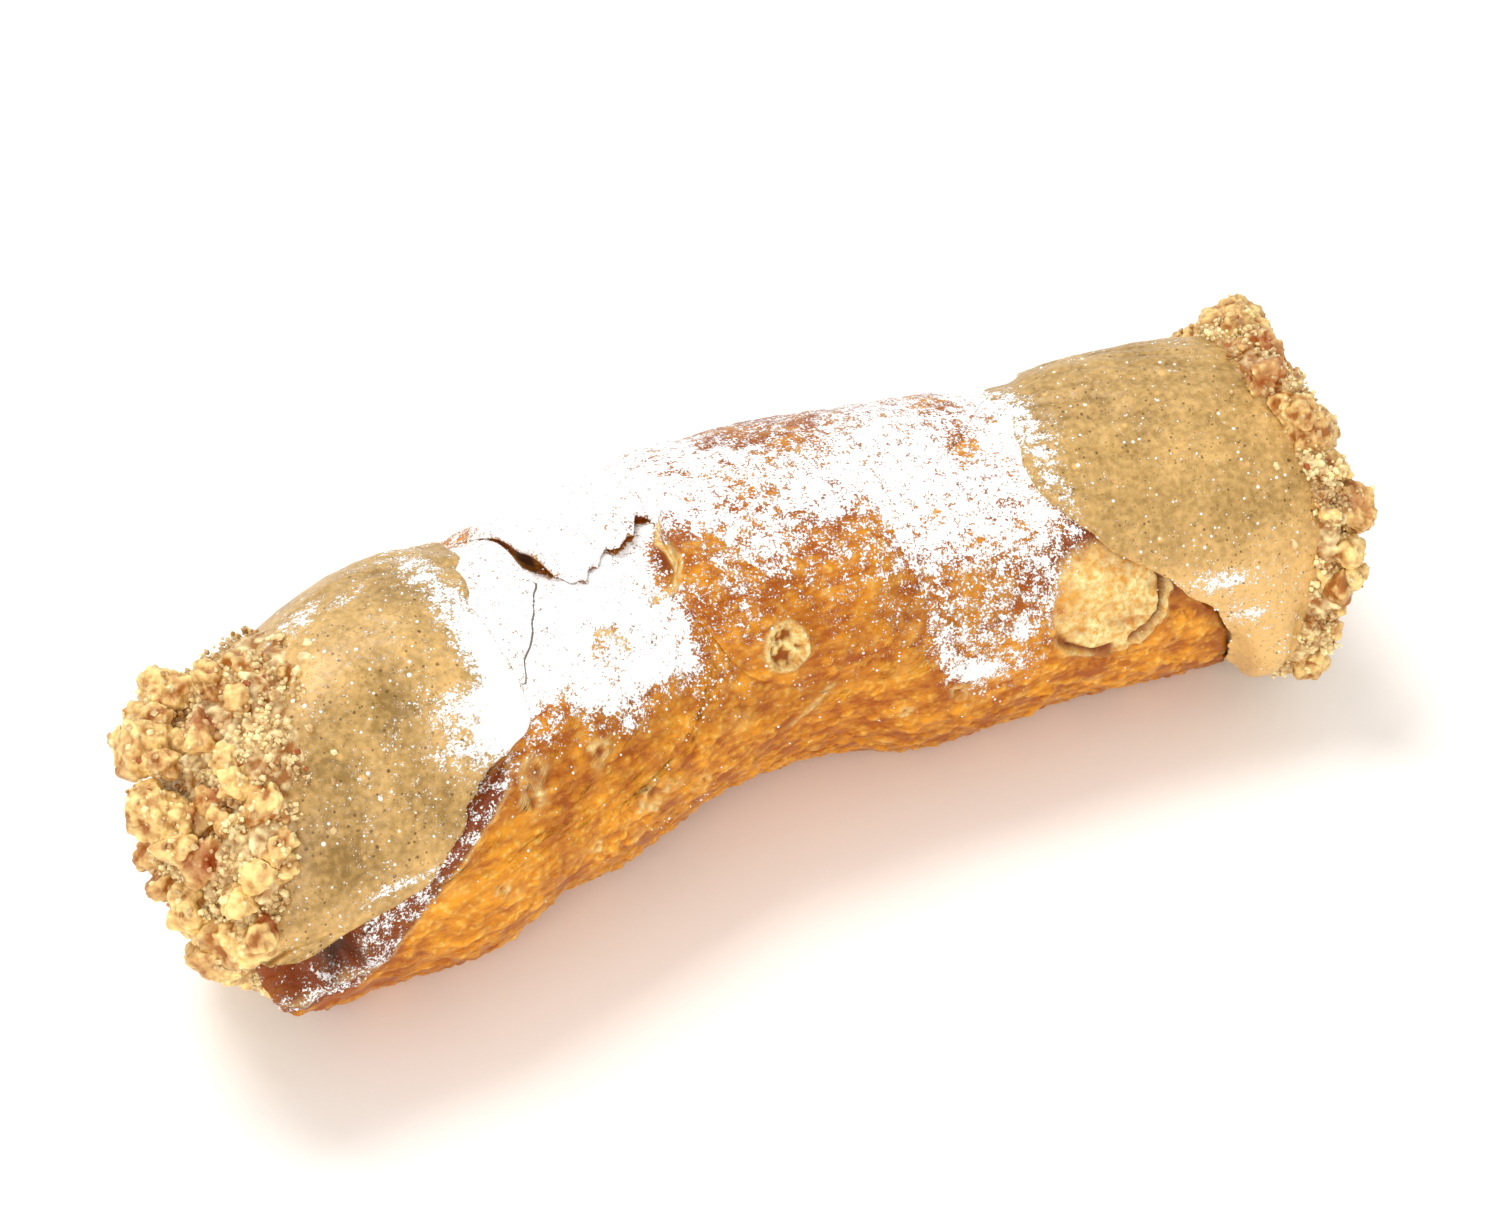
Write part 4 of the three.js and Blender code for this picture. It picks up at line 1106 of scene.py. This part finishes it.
def roundBall(level):  # unit points and triangles of a ball of triangles
    ball = bmesh.new()
    bmesh.ops.create_icosphere(ball, subdivisions=level, radius=1)
    spots = np.array([v.co for v in ball.verts])
    faces = np.array([[v.index for v in f.verts] for f in ball.faces])
    ball.free()
    return spots, faces


def randomTurns(random, count):  # turning matrices from random unit quaternions
    q = random.normal(size=(count, 4))
    w, x, y, z = (q / np.linalg.norm(q, axis=1, keepdims=True)).T
    rows = [1 - 2 * (y * y + z * z), 2 * (x * y - z * w), 2 * (x * z + y * w),
            2 * (x * y + z * w), 1 - 2 * (x * x + z * z), 2 * (y * z - x * w),
            2 * (x * z - y * w), 2 * (y * z + x * w), 1 - 2 * (x * x + y * y)]
    return np.stack(rows, -1).reshape(count, 3, 3)


def brokenPieces(random, centres, sizes, level, cuts, sharp, stretch, depth=(0.42, 0.85)):
    # each piece is a ball cut by random planes at h: radius = (1 + sum (n.d / h)^sharp)^(-1 / sharp)
    spots, faces = roundBall(level)
    count = len(centres)
    normals = random.normal(size=(count, cuts, 3))
    normals /= np.linalg.norm(normals, axis=2, keepdims=True)
    heights = random.uniform(*depth, (count, cuts))
    facing = np.clip(np.einsum("pcx,vx->pvc", normals, spots), 0, None) / heights[:, None, :]
    radius = ((facing**sharp).sum(2) + 1) ** (-1 / sharp)
    shape = spots[None] * radius[..., None] * (1 + stretch * random.uniform(-1, 1, (count, 1, 3)))
    shape = np.einsum("pij,pvj->pvi", randomTurns(random, count), shape)
    points = centres[:, None, :] + shape * sizes[:, None, None]
    everyFace = faces[None] + (np.arange(count) * len(spots))[:, None, None]
    return points, everyFace.reshape(-1, 3)


def bedHeight(side, around, share):
    # lumps of 1 to 4 mm over the cream, with grains on them, thinning to nothing at the heap's uneven rim
    heap = heaps[side]
    ground = place(*overFace(side, around, 90 * (1 - share), 0.9), heaps["floor"])
    edge = curveThrough(heap["reach"], around, 360) * (1 + heaps["rim"] * noise(ground, 2.6, 86))
    thick = fade(0.8, 1.0, share / edge)
    lumps = 0.5 * heap["thickness"] + 1.1 * noise(ground, 3.6, 81) + 0.5 * noise(ground, 1.8, 85)
    grains = 0.55 * domes(ground, 1.3, 82, 0.9, 0.85) + 0.4 * domes(ground, 0.85, 83, 0.9, 0.55)
    return mix(-0.25, np.maximum(lumps, 0.2) + grains, thick), grains, ground


def nutBed(side):
    # rings out from the face's middle over the heap, then three that lead back into the cream
    heap = heaps[side]
    _, power, way, _ = cream["faces"][side]
    angles = turned(-np.arange(0, 360, heaps["bedStep"]))[None, :]
    out = np.linspace(0.01, 1, heaps["bedRings"])[:, None] ** (heaps["ringPower"] / power)
    share = curveThrough(heap["reach"], angles, 360) * (1 + heaps["rim"]) * out
    height, grains, ground = bedHeight(side, angles + 0 * share, share)
    s, a, r = overFace(side, angles, 90 * (1 - share), height)
    rings = [place(s, a, r, heaps["floor"])]
    for t in (0.35, 0.75, 1):
        rings.append(place(mix(s[-1], way * 46, t), a[-1], r[-1] * (1 - 0.9 * t), heaps["floor"] + 1.5)[None])
    # painted light and shade: grain tops and higher lumps lighter, the hollows between them darker, on a
    # random tone
    toneAndShade = limited(0.05 + 0.75 * grains + 0.12 * height + 0.25 * noise(ground, 2.5, 84))
    toasted = np.clip(1.6 * noise(ground, 3.1, 87) - 0.9, 0, 0.8)
    pad = np.zeros((3, toneAndShade.shape[1]))
    values = {"toneAndShade": np.concatenate([toneAndShade, pad]), "toasted": np.concatenate([toasted, pad])}
    return np.concatenate(rings), values, way


def heapPlaces(side, random, count, lift, spread=1.0):
    # spread evenly over the end face by the golden angle, each lying on the bed
    around = turned(heaps["goldenAngle"] * (np.arange(count) + 0.6 * random.random(count)))
    out = np.sqrt((np.arange(count) + 0.5) / count)
    share = curveThrough(heaps[side]["reach"], around, 360) * spread * out
    height, _, _ = bedHeight(side, around, share)
    return place(*overFace(side, around, 90 * (1 - share), height + lift), heaps["floor"])


def roughened(points, centres, amount):
    # grains and creases on broken faces, pushed out from each piece's middle; gives back their height too:
    # domes 1.2 and 0.7 mm apart, less the folds that |noise| makes at 1.5 and 0.7 mm
    out = points - centres[:, None]
    out /= np.linalg.norm(out, axis=2, keepdims=True)
    grains = 0.35 * domes(points, 1.2, 91, 0.85, 0.8) + 0.25 * domes(points, 0.7, 94, 0.85, 0.45)
    grains = grains + 0.6 - 0.75 * np.abs(noise(points, 1.5, 96)) - 0.5 * np.abs(noise(points, 0.7, 97))
    push = 0.7 * grains + 0.3 * noise(points, 2.0, 92)
    return points + out * (push * amount)[..., None], grains


def onChunks(random, points, centres, each):
    # places on the upper two thirds of each chunk's skin, for grains that stick to it
    count, spots = points.shape[:2]
    chosen = points[np.repeat(np.arange(count), each), random.integers(0, spots, count * each)]
    middle = np.repeat(centres, each, 0)
    return chosen[chosen[:, 2] > middle[:, 2] - 0.3 * np.abs(chosen - middle).max(1)]


def makeNuts(name, side, points, faces, finish, toneAndShade, toasted, flatFaces=False):
    values = {"toneAndShade": limited(toneAndShade), "toasted": limited(toasted)}
    replaced = ["chopped_nuts_" + side]
    makePiece(name + "_" + side, points, faces, finishes[finish], replaced, values, flatFaces)


def stainsOn(side, points):  # red-brown toasted places
    total = np.zeros(points.shape[:-1])
    for s, a, r, width in heaps[side]["stains"]:
        far = np.linalg.norm(points - place(s, a, r), axis=-1) * (1 + 0.3 * noise(points, 1, 95))
        total = np.maximum(total, bell(far, width))
    return total


def nutHeap(side):
    heap = heaps[side]
    random = np.random.default_rng(heap["seed"])
    points, values, way = nutBed(side)
    replaced = ["chopped_nuts_" + side]
    makeCapped("nut_bed_" + side, points, values, finishes["crumb"], replaced, flip=way < 0)

    s, a, r, sizes, grainy = np.array(heap["big"]).T
    centres = place(s, a, r, heaps["floor"] + 1)
    points, faces = brokenPieces(random, centres, sizes, 5, 11, 18, 0.2)
    points, grains = roughened(points, centres, mix(0.2, 1.1, grainy[:, None]))
    # painted light and shade: grain crests lighter and creases darker, over each chunk's random tone
    toneAndShade = random.uniform(0.3, 0.7, (len(sizes), 1)) + 0.7 * (grains - 0.35)
    makeNuts("nut_chunks", side, points, faces, "chunks", toneAndShade, stainsOn(side, points))
    stuck = [onChunks(random, points, centres, heaps["stuck"]["big"])]

    small = heap["chunks"]
    sizes = 0.5 * mix(*heaps["pieceSizes"], random.random(small) ** 1.5)
    centres = heapPlaces(side, random, small, 0.25 * sizes, 0.97)
    centres[:, 2] = np.maximum(centres[:, 2], 1.2 * sizes)
    points, faces = brokenPieces(random, centres, sizes, 4, 9, 14, 0.25)
    points, grains = roughened(points, centres, random.uniform(0.8, 1.5, (small, 1)))
    # painted light and shade: grain crests lighter and creases darker, over each piece's random tone
    toneAndShade = random.uniform(0.15, 0.65, (small, 1)) + 0.8 * (grains - 0.35)
    reddish = np.clip(noise(points, 3, 93) * 2.2 - 0.9, 0, 0.8) * (random.random((small, 1)) < 0.15)
    makeNuts("nut_pieces", side, points, faces, "chunks", toneAndShade, np.maximum(reddish, stainsOn(side, points)))
    stuck.append(onChunks(random, points, centres, heaps["stuck"]["small"]))

    # crumb: pale grains in clumps over the bed and on the chunks, some strayed on to the cream
    clumps = heapPlaces(side, random, heap["clumps"], 0.1, 0.98)
    each = heaps["grains"]
    spread = random.normal(size=(len(clumps), each, 3)) * random.uniform(0.4, 0.8, (len(clumps), 1, 1))
    spread = np.clip(spread, -0.9, 0.9)
    looseAlong, looseAround, looseSizes = np.array(heap["loose"]).T
    onCream = place(looseAlong, looseAround, creamBase(looseAlong, looseAround) + 0.15)
    centres = np.concatenate([(clumps[:, None] + spread).reshape(-1, 3), *stuck, onCream])
    count = len(centres)
    sizes = mix(*heaps["grain"], random.random(count) ** 1.5)
    sizes[-len(looseSizes):] = looseSizes
    centres[:, 2] = np.maximum(centres[:, 2], 1.3 * sizes + 0.1)
    points, faces = brokenPieces(random, centres, sizes, 1, 5, 8, 0.25)
    toneAndShade = random.uniform(0.35, 0.95, count)
    toneAndShade[:len(clumps) * each] = np.repeat(random.uniform(0.3, 0.95, len(clumps)), each)
    toneAndShade = np.repeat((toneAndShade + random.uniform(-0.25, 0.2, count))[:, None], points.shape[1], 1)
    skins = (random.random((count, 1)) < 0.012) * 0.95
    toasted = np.maximum(skins, 0.7 * stainsOn(side, points))
    makeNuts("nut_crumb", side, points, faces, "crumb", toneAndShade, toasted, flatFaces=True)


for side in ("left", "right"):
    nutHeap(side)


looseSugar = {
    "on": [(3600, shellPoints, shellValues), (1500, creamPoints, creamValues)],
    "size": (0.07, 0.2),
    "over": 12,  # mm, none lie lower
    "seed": 5,
}


def sugarGrains():
    # small clots of sugar standing on the skins, more of them where sugar lies
    random = np.random.default_rng(looseSugar["seed"])
    centres = []
    for count, points, values in looseSugar["on"]:
        density = values["sugar"][:-1]
        odds = (density * limited(1.15 - density)).ravel() * (points[:-1, :, 2].ravel() > looseSugar["over"])
        chosen = random.choice(odds.size, count, p=odds / odds.sum())
        i, j = np.unravel_index(chosen, density.shape)
        k = (j + 1) % points.shape[1]
        u, v = random.random((2, count, 1))
        centres.append(mix(mix(points[i, j], points[i, k], u), mix(points[i + 1, j], points[i + 1, k], u), v))
    centres = np.concatenate(centres)
    sizes = mix(*looseSugar["size"], random.random(len(centres)) ** 2)
    points, faces = brokenPieces(random, centres, sizes, 1, 4, 8, 0.2)
    makePiece("icing_sugar_clots", points, faces, finishes["sugar"])


sugarGrains()


# floor, light and camera; a view is azimuth, elevation and distance, in m for a lamp and mm for the camera
studio = {
    "floor": ("#fbf8f5", 0.7, 1.5),  # colour, roughness, half its side
    "sky": ("#ffffff", 0.7),
    "lamps": {  # view, size m, watts, colour
        "back_softbox": ((202, 66, 0.9), 0.35, 4.4, "#ffffff"),
        "front_fill": ((-30, 36, 0.8), 0.4, 3.0, "#fff4e8"),
    },
    "camera": {"view": (-27, 42, 300), "lens": 67.68, "height": 18, "sensor": 36, "clip": (0.01, 10)},
}


def awayTo(azimuth, elevation):  # unit vector out from the middle
    a, e = math.radians(azimuth), math.radians(elevation)
    return Vector((math.sin(a) * math.cos(e), -math.cos(a) * math.cos(e), math.sin(e)))


def addObject(name, data):
    made = bpy.data.objects.new(name, data)
    bpy.context.scene.collection.objects.link(made)
    return made


def makeFloor():
    colour, roughness, half = studio["floor"]
    material, _, shader = newMaterial("white_board")
    connect(shader, {"Base Color": linear(colour), "Roughness": roughness})
    mesh = bpy.data.meshes.new("floor")
    square = [(-half, -half, 0), (half, -half, 0), (half, half, 0), (-half, half, 0)]
    mesh.from_pydata(square, [], [(0, 1, 2, 3)])
    mesh.materials.append(material)
    addObject("floor", mesh)


def makeStudio():
    world = bpy.data.worlds.new("studio")
    world.use_nodes = True
    colour, strength = studio["sky"]
    connect(world.node_tree.nodes["Background"], [linear(colour), strength])
    bpy.context.scene.world = world
    for name, ((azimuth, elevation, distance), size, watts, colour) in studio["lamps"].items():
        away = awayTo(azimuth, elevation)
        lamp = bpy.data.lights.new(name, "AREA")
        lamp.size, lamp.energy, lamp.color = size, watts, linear(colour)[:3]
        body = addObject(name, lamp)
        body.location = away * distance
        body.rotation_euler = away.to_track_quat("Z", "Y").to_euler()
    bpy.context.scene.view_settings.view_transform = "Standard"


def makeCamera():
    settings = studio["camera"]
    azimuth, elevation, distance = settings["view"]
    away = awayTo(azimuth, elevation)
    target = Vector((*tube["centreShift"], settings["height"]))
    eye = bpy.data.cameras.new("camera")
    eye.lens, eye.sensor_width = settings["lens"], settings["sensor"]
    eye.clip_start, eye.clip_end = settings["clip"]
    camera = addObject("camera", eye)
    camera.location = (target + away * distance) * millimetre
    camera.rotation_mode = "QUATERNION"
    camera.rotation_quaternion = away.to_track_quat("Z", "Y")
    bpy.context.scene.camera = camera


makeFloor()
makeStudio()
makeCamera()
